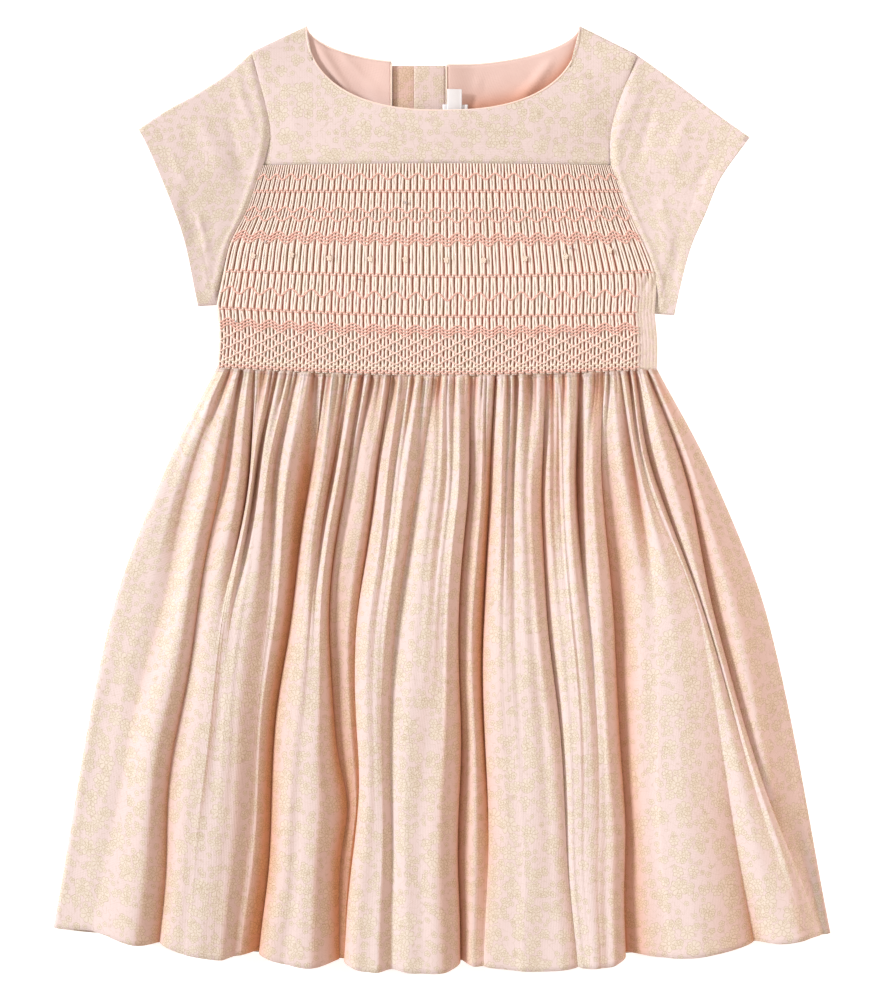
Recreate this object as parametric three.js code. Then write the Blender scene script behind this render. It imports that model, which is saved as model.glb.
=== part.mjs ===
// A child's short-sleeved cotton dress with a hand-smocked front, laid flat on its back on a table.
// Millimetres. +X is to the right of the laid dress, +Y is towards the neck and +Z is up from the table.
// The origin is the middle of the bounding box, on the table.
import * as THREE from "three";

// Cloth and seams
const CLOTH = 1.2; // wall of the printed cotton
const LINING = 1.0; // wall of the plain lining, the labels and the placket strips
const SEAM = 0.3; // gap between two pieces that are sewn together
const FRONT_LEVEL = CLOTH + LINING + 2 * SEAM; // inside of the front where it lies on the back
const SKIRT_LEVEL = CLOTH + SEAM + CLOTH / 2 + 0.1; // middle of the front skirt's wall at the side seams

// Outline
const LENGTH = 580; // neck points to the lowest hem
const TOP = LENGTH / 2;
const NECK_HALF = 84;
const NECK_MIDDLE = 0.7;
const FRONT_NECK = { depth: 53, inner: 2.4, outer: 2.2 };
const BACK_NECK = { depth: 24, inner: 2.0, outer: 1.85 };
const YOKE_SEAM = 204.5; // level of the seam between the front yoke and the smocking
const WAIST = { left: [-138.2, 80], right: [131.9, 79], sag: 4.5 };
const BODICE_RISE = 10; // how far the middle of the front stands off the back
const RISE_REACH = 65; // length below the neck points over which it comes to that
const SHOULDER_SHARE = 0.16; // share of the yoke's top edge that each shoulder has
const SHOULDER_FOOT = 15; // width at each end of the yoke seam that its shoulder stands over
const SLEEVE_GAP = 3.3; // widest space between a sleeve's two layers

// Back closure, seen from the front
const OVERLAP = { outerLeft: -30.6, outerRight: -3, innerLeft: -17.2, innerRight: 2.2, bottom: 76 };
const BUTTON = { radius: 5.5, thickness: 2.0, rim: 0.5, x: -10, levels: [254, 204, 154, 104] };
const DISH = { depth: 0.4, floor: 3.9, lip: 4.3 }; // hollow of a button's face and the radii of its bank
const PLACKET_LIFT = BUTTON.thickness + SEAM;
const LIFT_RAMP = 20; // width over which a back panel comes down from the strips
const LIFT_FADE = { start: 2, length: 16 }; // how it comes down above the strips' lower ends
const LABELS = {
  wide: { left: 0.4, right: 15.9, top: 241.6, bottom: 214 },
  size: { left: 3.2, right: 12.2, top: 250.8, bottom: 236 },
};

// Smocking: pleats across, and the stitched levels measured down from the yoke seam
const PLEATS = 126;
const PLEAT_HEIGHT = 1.4;
const PINCHED_HEIGHT = 0.9;
const PINCH_SHIFT = 0.25;
const STITCHED_LEVELS = [17, 47, 78, 108];
const PLAIN_COLUMNS = 21; // columns of the smocking's plain inside
const FLAT_EDGE = 4; // half pleats over which the pleats rise from the sides

// Skirt: x of each valley between two folds at four stations down the skirt, how deep the valley is below the
// crests at the last three, how steep its left and right banks are (0 gentle, 1 abrupt), where the crest on
// its right stands between it and the next valley, and how far that crest is below the highest ones near the
// waist and at the hem.
const STATIONS = [0, 0.18, 0.45, 1];
const FOLD_COLUMNS = [
  "waist", "upper", "middle", "hem", "deepUpper", "deepMiddle", "deepHem", "leftBank", "rightBank", "crest",
  "lowUpper", "lowHem",
];
const FOLDS = [
  [-131.0, -154.0, -174.5, -212.0, 5, 5, 3, 0.0, 0.2, 0.62, 1, 0],
  [-124.0, -136.6, -150.0, -173.0, 9, 8, 9, 0.5, 0.7, 0.6, 1, 2],
  [-113.9, -119.5, -133.0, -158.0, 11, 1, 1, 0.6, 0.5, 0.5, 0, 0.5],
  [-101.5, -115.0, -127.0, -145.0, 9, 0.5, 0.5, 0.6, 0.2, 0.6, 0, 0.5],
  [-89.0, -102.3, -107.0, -127.5, 6, 3, 5, 0.0, 0.2, 0.35, 0, 6],
  [-72.5, -79.0, -90.5, -111.2, 13, 13, 12, 0.0, 1.0, 0.45, 1, 3],
  [-56.5, -67.0, -77.0, -92.5, 10, 2, 2, 0.4, 0.4, 0.45, 0, 0],
  [-46.0, -56.5, -65.5, -65.0, 9, 11, 10, 0.3, 0.9, 0.6, 1, 9],
  [-31.0, -36.5, -49.5, -58.5, 13, 8, 11, 0.3, 1.0, 0.4, 0, 1],
  [-20.0, -27.0, -40.0, -43.0, 4, 0.5, 0.5, 0.3, 0.3, 0.4, 0, 0],
  [-6.0, -14.5, -30.5, -31.0, 7, 6, 4, 0.0, 0.2, 0.5, 0, 0],
  [3.0, 0.5, -9.0, -10.5, 5, 0.5, 0.5, 0.3, 0.3, 0.65, 0, 0],
  [17.5, 13.5, 10.0, 8.5, 8, 11, 13, 0.9, 0.1, 0.55, 3, 4],
  [33.0, 31.0, 30.5, 24.5, 13, 13, 6, 0.2, 1.0, 0.45, 1, 3],
  [42.5, 43.0, 43.0, 48.0, 6, 1, 1, 0.3, 0.3, 0.7, 0, 0],
  [62.0, 61.8, 66.0, 82.5, 12, 9, 3, 0.9, 0.2, 0.5, 1, 1],
  [70.5, 73.0, 77.0, 90.5, 6, 1, 0.5, 0.3, 0.4, 0.5, 0, 0],
  [84.0, 84.0, 89.0, 98.0, 12, 3, 0.5, 0.6, 0.6, 0.6, 0, 0],
  [100.0, 96.5, 103.5, 110.5, 9, 12, 12, 1.0, 0.0, 0.6, 3, 5],
  [108.8, 118.8, 127.5, 141.0, 8, 2, 3, 0.5, 0.4, 0.4, 0, 0],
  [113.2, 123.5, 157.0, 190.0, 1, 1, 9, 0.9, 0.3, 0.5, 0, 1],
  [118.5, 128.6, 160.5, 223.0, 9, 4, 1, 0.7, 0.3, 0.5, 0, 1],
  [126.0, 147.0, 166.0, 231.5, 9, 10, 2, 0.9, 0.2, 0.4, 2, 4],
].map((row) => Object.fromEntries(row.map((value, i) => [FOLD_COLUMNS[i], value])));
const LEFT_SIDE = [-138.2, -169.6, -203.8, -238.8];
const RIGHT_SIDE = [131.9, 164.9, 200.8, 238.8];
const CREST_LEVELS = [0, 15, 17, 15.5]; // height of the crests at the stations; the first is the bodice's own
const BANK_POWER = 5; // how abruptly the steepest banks rise
const WAIST_RELIEF = 1.4; // depth of the gathers where they leave the smocking
const SIDE_SLOPE = { waist: 4, skirt: 26, start: 0.12 }; // widths over which the folds die out at the sides
const SIDE_CREST = { place: 0.6, sunk: 2 }; // the crest at the left side: where it stands and how it sinks
const HEM = { left: -263.5, right: -267, middle: -290, power: 2.2, pull: 0.75 };
const BACK_HEM_SHORTER = 6;

const SKIRT_ROWS = 11;
const ROW_POWER = 1.25; // brings the skirt's rows closer together under the smocking
const BANK_STEP = 0.3; // where a bank has its middle point, as a share of the way from valley to crest
const MITRE = 1.6; // most that the wall's outside is raised in a sharp valley, for half the wall

const COLOURS = { print: 0xf0d9c8, lining: 0xf1c4b8, label: 0xf7f4f4, button: 0xf3e6da };

// Small numeric helpers
const mix = (a, b, t) => a + (b - a) * t;
const clamp01 = (t) => Math.min(1, Math.max(0, t));
const smooth = (t) => clamp01(t) ** 2 * (3 - 2 * clamp01(t));
const steps = (n) => Array.from({ length: n + 1 }, (_, i) => i / n);

// A smooth value through the four stations of the skirt.
function alongSkirt(values, v) {
  const i = v < STATIONS[1] ? 0 : v < STATIONS[2] ? 1 : 2;
  const slope = (k) => {
    const a = Math.max(0, k - 1);
    const b = Math.min(3, k + 1);
    return (values[b] - values[a]) / (STATIONS[b] - STATIONS[a]);
  };
  const span = STATIONS[i + 1] - STATIONS[i];
  const t = (v - STATIONS[i]) / span;
  const rise = smooth(t);
  const leave = t ** 3 - 2 * t ** 2 + t;
  const arrive = t ** 3 - t ** 2;
  return mix(values[i], values[i + 1], rise) + span * (leave * slope(i) + arrive * slope(i + 1));
}

// Outline curves, each a function of t from 0 to 1 that gives [x, y]
function through(points) {
  const curve = new THREE.SplineCurve(points.map(([x, y]) => new THREE.Vector2(x, y)));
  return (t) => {
    const p = curve.getPointAt(clamp01(t));
    return [p.x, p.y];
  };
}

const line = (a, b) => (t) => [mix(a[0], b[0], t), mix(a[1], b[1], t)];

function chained(parts) {
  // parts holds [curve, share of t]
  return (t) => {
    let start = 0;
    for (const [curve, share] of parts) {
      if (t <= start + share + 1e-9) return curve(clamp01((t - start) / share));
      start += share;
    }
    return parts.at(-1)[0](1);
  };
}

const shifted = (curve, dx, dy) => (t) => [curve(t)[0] + dx, curve(t)[1] + dy];

function neckLevel(x, neck) {
  const share = Math.min(1, Math.abs(x - NECK_MIDDLE) / NECK_HALF);
  return TOP - neck.depth * (1 - share ** neck.inner) ** (1 / neck.outer);
}

function neckCurve(neck, from, to) {
  // Angles keep the points even where the neckline turns up to the shoulder.
  const angle = (x) => Math.acos((x - NECK_MIDDLE) / NECK_HALF);
  return (t) => {
    const x = NECK_MIDDLE + NECK_HALF * Math.cos(mix(angle(from), angle(to), t));
    return [x, neckLevel(x, neck)];
  };
}

const neckPoint = { left: [NECK_MIDDLE - NECK_HALF, TOP], right: [NECK_MIDDLE + NECK_HALF, TOP] };
const shoulderTip = { left: [-117, 274.1], right: [119.8, 272.5] };
const yokeCorner = { left: [-110.8, YOKE_SEAM], right: [104.6, YOKE_SEAM] };
const underarm = { left: [-138.4, 119], right: [130.6, 113.6] };
const upperArmhole = {
  left: through([shoulderTip.left, [-109.5, 245], [-106.8, 224], yokeCorner.left]),
  right: through([shoulderTip.right, [109.6, 245], [104.6, 223], yokeCorner.right]),
};
const lowerArmhole = {
  left: through([yokeCorner.left, [-119.5, 178.5], [-129.5, 158], [-134, 140], underarm.left]),
  right: through([yokeCorner.right, [114.5, 177], [125.5, 152], [131.2, 134], underarm.right]),
};
const side = {
  left: through([underarm.left, [-136.9, 100], WAIST.left]),
  right: through([underarm.right, [132.2, 95], WAIST.right]),
};
const armholeAndSide = {
  left: chained([[lowerArmhole.left, 0.68], [side.left, 0.32]]),
  right: chained([[lowerArmhole.right, 0.68], [side.right, 0.32]]),
};
const wholeSide = {
  left: chained([[upperArmhole.left, 0.36], [lowerArmhole.left, 0.42], [side.left, 0.22]]),
  right: chained([[upperArmhole.right, 0.36], [lowerArmhole.right, 0.42], [side.right, 0.22]]),
};

function waistLevel(x) {
  const t = (x - WAIST.left[0]) / (WAIST.right[0] - WAIST.left[0]);
  return mix(WAIST.left[1], WAIST.right[1], t) - WAIST.sag * Math.sin(Math.PI * clamp01(t));
}

function waistCurve(from, to) {
  return (t) => [mix(from, to, t), waistLevel(mix(from, to, t))];
}

// Levels of the laid layers
const sidePoints = {
  left: steps(60).map(wholeSide.left),
  right: steps(60).map(wholeSide.right),
};

function halfWidth(y, where) {
  // How far the side of the bodice is from the middle at a level; its points run from the shoulder down.
  const points = sidePoints[where];
  const i = points.findIndex((point) => point[1] < y);
  if (i === -1) return Math.abs(points.at(-1)[0]);
  if (i === 0) return Math.abs(points[0][0]);
  const t = (y - points[i - 1][1]) / (points[i][1] - points[i - 1][1]);
  return Math.abs(mix(points[i - 1][0], points[i][0], t));
}

function bodiceRise(x, y) {
  const across = Math.min(1, Math.abs(x) / halfWidth(y, x < 0 ? "left" : "right"));
  return BODICE_RISE * (1 - across ** 2) * smooth((TOP - y) / RISE_REACH);
}

const frontInside = (x, y) => FRONT_LEVEL + bodiceRise(x, y);

// The back stands off the table over the buttons of its closure.
const liftFade = (y) => smooth((y - OVERLAP.bottom - LIFT_FADE.start) / LIFT_FADE.length);
const outerStripLevel = (x, y) => PLACKET_LIFT * liftFade(y);
const innerStripLevel = (x, y) => outerStripLevel(x, y) + LINING + SEAM;

function backLevel(x, y) {
  const fromLeft = smooth((x - OVERLAP.outerLeft + LIFT_RAMP) / LIFT_RAMP);
  const fromRight = smooth((OVERLAP.innerRight + LIFT_RAMP - x) / LIFT_RAMP);
  return x < OVERLAP.innerLeft ? outerStripLevel(x, y) * fromLeft : innerStripLevel(x, y) * fromRight;
}

const liningLevel = (x, y) => backLevel(x, y) + CLOTH + SEAM;

// Walls
function patch(top, bottom, left, right, columns, rows) {
  // A Coons patch: rows of [x, y] between four outline curves that meet at their ends.
  return rows.map((v) => columns.map((u) => {
    const corner = (k) => mix(mix(top(0)[k], top(1)[k], u), mix(bottom(0)[k], bottom(1)[k], u), v);
    const at = (k) => mix(top(u)[k], bottom(u)[k], v) + mix(left(v)[k], right(v)[k], u) - corner(k);
    return [at(0), at(1)];
  }));
}

// A closed wall between two grids of points with the same number of rows. The two may have different numbers
// of columns, and their end rows are then joined by a strip that takes the nearer point each time. Where the
// upper grid has raised pleats, the strip starts at their feet, and a triangle closes each pleat's end.
function wall(upper, lower, pleated = false) {
  const points = [...upper.flat(), ...lower.flat()];
  const index = [];
  const wide = upper[0].length;
  const narrow = lower[0].length;
  const rows = upper.length;
  const up = (i, j) => i * wide + j;
  const down = (i, j) => rows * wide + i * narrow + j;
  const quad = (a, b, c, d) => index.push(a, b, c, a, c, d);
  for (let i = 0; i < rows - 1; i++) {
    for (let j = 0; j < wide - 1; j++) quad(up(i, j), up(i + 1, j), up(i + 1, j + 1), up(i, j + 1));
    for (let j = 0; j < narrow - 1; j++) quad(down(i, j), down(i, j + 1), down(i + 1, j + 1), down(i + 1, j));
    quad(up(i, 0), down(i, 0), down(i + 1, 0), up(i + 1, 0));
    quad(up(i, wide - 1), up(i + 1, wide - 1), down(i + 1, narrow - 1), down(i, narrow - 1));
  }
  for (const [i, flip] of [[0, false], [rows - 1, true]]) {
    const face = (a, b, c) => (flip ? index.push(a, c, b) : index.push(a, b, c));
    const foot = pleated ? 2 : 1;
    let j = 0;
    let k = 0;
    while (j < wide - 1 || k < narrow - 1) {
      if (k === narrow - 1 || (j < wide - 1 && (j + foot) / (wide - 1) <= (k + 1) / (narrow - 1) + 1e-9)) {
        if (pleated) face(up(i, j), up(i, j + 1), up(i, j + foot));
        face(up(i, j), up(i, j + foot), down(i, k));
        j += foot;
      } else {
        face(up(i, j), down(i, k + 1), down(i, k));
        k += 1;
      }
    }
  }
  const geometry = new THREE.BufferGeometry();
  geometry.setAttribute("position", new THREE.Float32BufferAttribute(points.flat(), 3));
  geometry.setIndex(index);
  geometry.computeVertexNormals();
  return geometry;
}

function layer(grid, level, thickness) {
  const at = (extra) => grid.map((row) => row.map(([x, y]) => [x, y, level(x, y) + extra]));
  return wall(at(thickness), at(0));
}

// A flattened tube: closed rings of points outside and inside, joined at both ends.
function tube(outer, inner) {
  const around = outer[0].length;
  const rows = outer.length;
  const points = [...outer.flat(), ...inner.flat()];
  const index = [];
  const out = (i, j) => i * around + (j % around);
  const inn = (i, j) => (rows + i) * around + (j % around);
  const quad = (a, b, c, d) => index.push(a, b, c, a, c, d);
  for (let j = 0; j < around; j++) {
    for (let i = 0; i < rows - 1; i++) {
      quad(out(i, j), out(i, j + 1), out(i + 1, j + 1), out(i + 1, j));
      quad(inn(i, j), inn(i + 1, j), inn(i + 1, j + 1), inn(i, j + 1));
    }
    quad(out(0, j), inn(0, j), inn(0, j + 1), out(0, j + 1));
    quad(out(rows - 1, j), out(rows - 1, j + 1), inn(rows - 1, j + 1), inn(rows - 1, j));
  }
  const geometry = new THREE.BufferGeometry();
  geometry.setAttribute("position", new THREE.Float32BufferAttribute(points.flat(), 3));
  geometry.setIndex(index);
  geometry.computeVertexNormals();
  return geometry;
}

// Materials
function cloth(colour, roughness = 0.85) {
  return new THREE.MeshStandardMaterial({ color: colour, roughness, metalness: 0 });
}

const dress = new THREE.Group();

function add(name, geometry, colour, roughness) {
  const mesh = new THREE.Mesh(geometry, cloth(colour, roughness));
  mesh.name = name;
  dress.add(mesh);
}

// Front yoke: neckline, two shoulders, upper armholes and the seam to the smocking
function frontYoke() {
  const top = chained([
    [line(shoulderTip.left, neckPoint.left), SHOULDER_SHARE],
    [neckCurve(FRONT_NECK, neckPoint.left[0], neckPoint.right[0]), 1 - 2 * SHOULDER_SHARE],
    [line(neckPoint.right, shoulderTip.right), SHOULDER_SHARE],
  ]);
  const inset = 2 * SEAM;
  const seamPoint = (x) => [x, YOKE_SEAM + SEAM];
  const [leftEnd, rightEnd] = [yokeCorner.left[0], yokeCorner.right[0]];
  const seam = chained([
    [line(seamPoint(leftEnd), seamPoint(leftEnd + SHOULDER_FOOT)), SHOULDER_SHARE],
    [line(seamPoint(leftEnd + SHOULDER_FOOT), seamPoint(rightEnd - SHOULDER_FOOT)), 1 - 2 * SHOULDER_SHARE],
    [line(seamPoint(rightEnd - SHOULDER_FOOT), seamPoint(rightEnd)), SHOULDER_SHARE],
  ]);
  const grid = patch(
    top,
    seam,
    upperArmhole.left,
    upperArmhole.right,
    steps(25),
    steps(7),
  ).map((row) => row.map(([x, y], j) => [x + (j === 0 ? inset : j === row.length - 1 ? -inset : 0), y]));
  return layer(grid, frontInside, CLOTH);
}

// Smocked front: pleats raised in the outer points over a plain inside
function smockedFront() {
  const depthOf = YOKE_SEAM - WAIST.left[1];
  const between = STITCHED_LEVELS.slice(1).map((level, i) => (level + STITCHED_LEVELS[i]) / 2);
  const levels = [0, ...STITCHED_LEVELS, ...between, depthOf].sort((a, b) => a - b);
  const rows = levels.map((level) => level / depthOf);
  const outline = [
    line([yokeCorner.left[0], YOKE_SEAM], [yokeCorner.right[0], YOKE_SEAM]),
    waistCurve(WAIST.left[0], WAIST.right[0]),
    armholeAndSide.left,
    armholeAndSide.right,
  ];
  const inset = 2 * SEAM;
  const keepOff = (j, last) => (j === 0 ? inset : j === last ? -inset : 0);
  const outerGrid = patch(...outline, steps(2 * PLEATS), rows);
  const innerGrid = patch(...outline, steps(PLAIN_COLUMNS), rows);
  const upper = outerGrid.map((row, i) => row.map(([x, y], j) => {
    const stitched = STITCHED_LEVELS.indexOf(levels[i]);
    const ridge = j % 2 === 1;
    const edge = Math.min(FLAT_EDGE, j, 2 * PLEATS - j) / FLAT_EDGE;
    const height = (stitched >= 0 ? PINCHED_HEIGHT : PLEAT_HEIGHT) * edge;
    const pair = (Math.floor(j / 2) + stitched) % 2 === 0 ? 1 : -1;
    const shift = stitched >= 0 && ridge ? pair * PINCH_SHIFT * edge : 0;
    return [x + shift + keepOff(j, 2 * PLEATS), y, frontInside(x, y) + CLOTH + (ridge ? height : 0)];
  }));
  const lower = innerGrid.map((row) => row.map(([x, y], j) => (
    [x + keepOff(j, PLAIN_COLUMNS), y, frontInside(x, y)]
  )));
  return wall(upper, lower, true);
}

// Front skirt
function skirtFolds(v) {
  // Every valley across the skirt at v with the crest on its right, between the two side seams
  const at = (values) => alongSkirt(values, v);
  const left = at(LEFT_SIDE);
  const right = at(RIGHT_SIDE);
  const folds = FOLDS.map((f) => ({
    x: at([f.waist, f.upper, f.middle, f.hem]),
    deep: at([WAIST_RELIEF, f.deepUpper, f.deepMiddle, f.deepHem]),
    low: at([0, f.lowUpper, (f.lowUpper + f.lowHem) / 2, f.lowHem]),
    leftBank: f.leftBank,
    rightBank: f.rightBank,
    crest: f.crest,
  }));
  return { left, right, folds };
}

function crestHeight(x, v, left, right) {
  // The crests start at the smocking's own height and sink to the side seams.
  const atWaist = frontInside(x * (WAIST.right[0] / right), WAIST.right[1]) + CLOTH;
  const free = alongSkirt([atWaist, ...CREST_LEVELS.slice(1)], v);
  const slope = mix(SIDE_SLOPE.waist, SIDE_SLOPE.skirt, smooth(v * 3));
  const fromSide = Math.min(x - left, right - x);
  return fromSide < 0.01 ? SKIRT_LEVEL : mix(SKIRT_LEVEL, free, smooth(SIDE_SLOPE.start + fromSide / slope));
}

// Share of the rise from a valley to its crest at t of the way
const bankRise = (t, steepness) => mix(smooth(t), 1 - (1 - t) ** BANK_POWER, steepness);

function skirtSection(v) {
  // [x, height] across the skirt: side seam, then for each fold its bank down, valley, bank up and crest
  const { left, right, folds } = skirtFolds(v);
  const section = [];
  const put = (x, down) => {
    section.push({ x, z: Math.max(SKIRT_LEVEL, crestHeight(x, v, left, right) - down) });
  };
  let crest = { x: mix(left, folds[0].x, SIDE_CREST.place), down: SIDE_CREST.sunk * v };
  put(left, 0);
  put(mix(left, crest.x, 0.5), crest.down / 2);
  put(crest.x, crest.down);
  folds.forEach((fold, i) => {
    const next = i + 1 < folds.length ? folds[i + 1].x : right;
    const bank = (from, steepness) => {
      put(mix(fold.x, from.x, BANK_STEP), mix(fold.deep, from.down, bankRise(BANK_STEP, steepness)));
    };
    bank(crest, fold.leftBank);
    put(fold.x, fold.deep);
    crest = { x: mix(fold.x, next, fold.crest), down: fold.low };
    bank(crest, fold.rightBank);
    put(crest.x, crest.down);
  });
  put(mix(crest.x, right, 0.5), crest.down / 2);
  put(right, 0);
  return section;
}

function hemLevel(x, z) {
  const t = x / RIGHT_SIDE[3];
  const arc = mix(t < 0 ? HEM.left : HEM.right, HEM.middle, 1 - Math.abs(t) ** HEM.power);
  return arc + HEM.pull * Math.max(0, CREST_LEVELS[3] - z) * smooth(6 * (1 - Math.abs(t)));
}

function skirtSurface() {
  const hem = skirtSection(1);
  return steps(SKIRT_ROWS).map((t) => {
    const v = t ** ROW_POWER;
    return skirtSection(v).map(({ x, z }, j) => {
      const start = waistLevel(mix(WAIST.left[0], WAIST.right[0], j / (hem.length - 1))) - SEAM;
      return new THREE.Vector3(x, mix(start, hemLevel(hem[j].x, hem[j].z), v), z);
    });
  });
}

function offsetBothWays(grid, thickness) {
  // The outside and inside of a wall, half its thickness to each side of a grid
  const rows = grid.length;
  const columns = grid[0].length;
  const normal = (i, j) => {
    // Halfway between the normals of the stretches to the left and right, so that steep banks keep apart
    const along = grid[Math.min(rows - 1, i + 1)][j].clone().sub(grid[Math.max(0, i - 1)][j]);
    const across = (from) => along.clone().cross(grid[i][from + 1].clone().sub(grid[i][from])).normalize();
    const n = across(Math.max(0, j - 1)).add(across(Math.min(columns - 2, j))).multiplyScalar(0.5);
    if (j === 0 || j === columns - 1) n.set(0, 0, 1);
    if (i === 0 || i === rows - 1) n.y = 0;
    return n;
  };
  const isValley = (i, j) => j > 0 && j < columns - 1 && grid[i][j].z < grid[i][j - 1].z
    && grid[i][j].z < grid[i][j + 1].z;
  const moved = (distance) => grid.map((row, i) => row.map((p, j) => {
    const n = normal(i, j);
    const mitre = distance > 0 && isValley(i, j) ? Math.min(MITRE, 1 / n.length()) : 1;
    return p.clone().addScaledVector(n.normalize(), distance * mitre).toArray();
  }));
  return [moved(thickness / 2), moved(-thickness / 2)];
}

// Back pieces
function backPanel(where, level, thickness) {
  const inner = where === "left" ? OVERLAP.outerLeft - SEAM : OVERLAP.innerRight + SEAM;
  const tip = shoulderTip[where];
  const neck = neckPoint[where];
  const top = chained([
    [neckCurve(BACK_NECK, inner, neck[0]), 0.7],
    [line(neck, tip), 0.3],
  ]);
  const bottom = waistCurve(inner, WAIST[where][0]);
  const grid = patch(
    shifted(top, 0, -SEAM),
    shifted(bottom, 0, SEAM),
    line([inner, neckLevel(inner, BACK_NECK) - SEAM], [inner, waistLevel(inner) + SEAM]),
    wholeSide[where],
    steps(12),
    steps(11),
  );
  const inset = (where === "left" ? 1 : -1) * 2 * SEAM;
  const kept = grid.map((row) => row.map(([x, y], j) => [x + (j === row.length - 1 ? inset : 0), y]));
  // The left panel's columns run from the middle outwards, to -X, so they are turned round.
  return layer(where === "left" ? kept.map((row) => row.toReversed()) : kept, level, thickness);
}

function placketStrip(left, right, level) {
  const top = TOP - BACK_NECK.depth - SEAM;
  const rows = steps(14).map((v) => v ** 0.6); // closer together where the strip comes down to the table
  const grid = patch(
    line([left, top], [right, top]),
    line([left, OVERLAP.bottom], [right, OVERLAP.bottom]),
    line([left, top], [left, OVERLAP.bottom]),
    line([right, top], [right, OVERLAP.bottom]),
    steps(1),
    rows,
  );
  return layer(grid, level, LINING);
}

function backSkirt() {
  const rows = steps(8);
  const grid = rows.map((v) => steps(16).map((u) => {
    const x = mix(alongSkirt(LEFT_SIDE, v), alongSkirt(RIGHT_SIDE, v), u);
    const waist = waistLevel(mix(WAIST.left[0], WAIST.right[0], u)) - SEAM;
    const hemX = mix(LEFT_SIDE[3], RIGHT_SIDE[3], u);
    const shorter = BACK_HEM_SHORTER * smooth(8 * Math.min(u, 1 - u));
    return [x, mix(waist, hemLevel(hemX, CREST_LEVELS[3]) + shorter, v)];
  }));
  return layer(grid, () => 0, CLOTH);
}

function buttonGeometry() {
  // A turned disc with a shallow dish in its face, which is down on the table
  const { radius, thickness, rim } = BUTTON;
  const profile = [
    [0, DISH.depth], [DISH.floor, DISH.depth], [DISH.lip, 0], [radius - rim, 0], [radius, rim],
    [radius, thickness - rim], [radius - rim, thickness], [0, thickness],
  ].map(([r, z]) => new THREE.Vector2(r, z));
  const geometry = new THREE.LatheGeometry(profile, 24);
  geometry.rotateX(Math.PI / 2);
  return geometry;
}

// Sleeves
const cuffTop = { left: [-186.3, 226.9], right: [188.9, 222] };
const cuffEnd = { left: [-149.7, 118.1], right: [142.4, 112.6] };
const sleeveOutline = {
  left: {
    top: through([shoulderTip.left, [-132.5, 260.5], [-152, 248], [-171, 237.5], cuffTop.left]),
    cuff: through([
      cuffTop.left, [-179.3, 213.5], [-165.4, 180.4], [-157.4, 156.5], [-151.4, 127.1], cuffEnd.left,
    ]),
    under: line(underarm.left, cuffEnd.left),
  },
  right: {
    top: through([shoulderTip.right, [141, 257.5], [168, 237], cuffTop.right]),
    cuff: through([
      cuffTop.right, [170.9, 196.9], [161.5, 175.2], [153.1, 156.1], [147.6, 136.9], cuffEnd.right,
    ]),
    under: line(underarm.right, cuffEnd.right),
  },
};

function sleeve(where) {
  const across = steps(11);
  const along = steps(7);
  const armhole = chained([[upperArmhole[where], 0.46], [lowerArmhole[where], 0.54]]);
  const { top, cuff, under } = sleeveOutline[where];
  const grid = patch(armhole, cuff, top, under, across, along);
  const away = where === "left" ? -1 : 1;
  const ring = (row, inside) => {
    const wallIn = inside ? CLOTH : 0;
    const inward = (j) => {
      // Moves the two folded edges of the inner ring in from the outer ring's edges.
      const edge = j === 0 ? 1 : j === row.length - 1 ? -1 : 0;
      const next = row[j + edge] ?? row[j];
      const run = Math.hypot(next[0] - row[j][0], next[1] - row[j][1]) || 1;
      return [row[j][0] + (next[0] - row[j][0]) / run * wallIn * Math.abs(edge),
        row[j][1] + (next[1] - row[j][1]) / run * wallIn * Math.abs(edge)];
    };
    const roof = (j) => 2 * CLOTH + SEAM + SLEEVE_GAP * Math.sin(Math.PI * j / (row.length - 1)) - wallIn;
    const over = row.map((_, j) => [...inward(j), roof(j)]);
    const below = row.map((_, j) => [...inward(j), wallIn]).toReversed();
    return [...over, ...below];
  };
  const moved = grid.map((row) => row.map(([x, y]) => [x + away * SEAM, y]));
  const rings = (inside) => moved.map((row) => ring(row, inside));
  // Rings are wound so that the outside faces out on both sides of the dress.
  const wound = (r) => (where === "right" ? r : r.map((row) => row.toReversed()));
  return tube(wound(rings(false)), wound(rings(true)));
}

// Labels lie on the right lining, one on the other.
function label({ left, right, top, bottom }, layers) {
  const grid = patch(
    line([left, top], [right, top]),
    line([left, bottom], [right, bottom]),
    line([left, top], [left, bottom]),
    line([right, top], [right, bottom]),
    steps(3),
    steps(1),
  );
  const under = OVERLAP.innerRight + SEAM;
  const rest = (x, y) => Math.max(
    liningLevel(Math.max(x, under), y) + LINING,
    innerStripLevel(x, y) + LINING,
  );
  return layer(grid, (x, y) => rest(x, y) + SEAM + layers * (LINING + SEAM), LINING);
}

add("front_yoke", frontYoke(), COLOURS.print);
add("front_smocking", smockedFront(), COLOURS.print);
add("front_skirt", wall(...offsetBothWays(skirtSurface(), CLOTH)), COLOURS.print);
add("back_bodice_left", backPanel("left", backLevel, CLOTH), COLOURS.print);
add("back_bodice_right", backPanel("right", backLevel, CLOTH), COLOURS.print);
add("back_lining_left", backPanel("left", liningLevel, LINING), COLOURS.lining, 0.9);
add("back_lining_right", backPanel("right", liningLevel, LINING), COLOURS.lining, 0.9);
add("placket_outer", placketStrip(OVERLAP.outerLeft, OVERLAP.outerRight, outerStripLevel), COLOURS.print);
add("placket_inner", placketStrip(OVERLAP.innerLeft, OVERLAP.innerRight, innerStripLevel), COLOURS.print);
add("back_skirt", backSkirt(), COLOURS.print);
add("sleeve_left", sleeve("left"), COLOURS.print);
add("sleeve_right", sleeve("right"), COLOURS.print);
add("label_wide", label(LABELS.wide, 0), COLOURS.label, 0.6);
add("label_size", label(LABELS.size, 1), COLOURS.label, 0.6);
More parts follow.
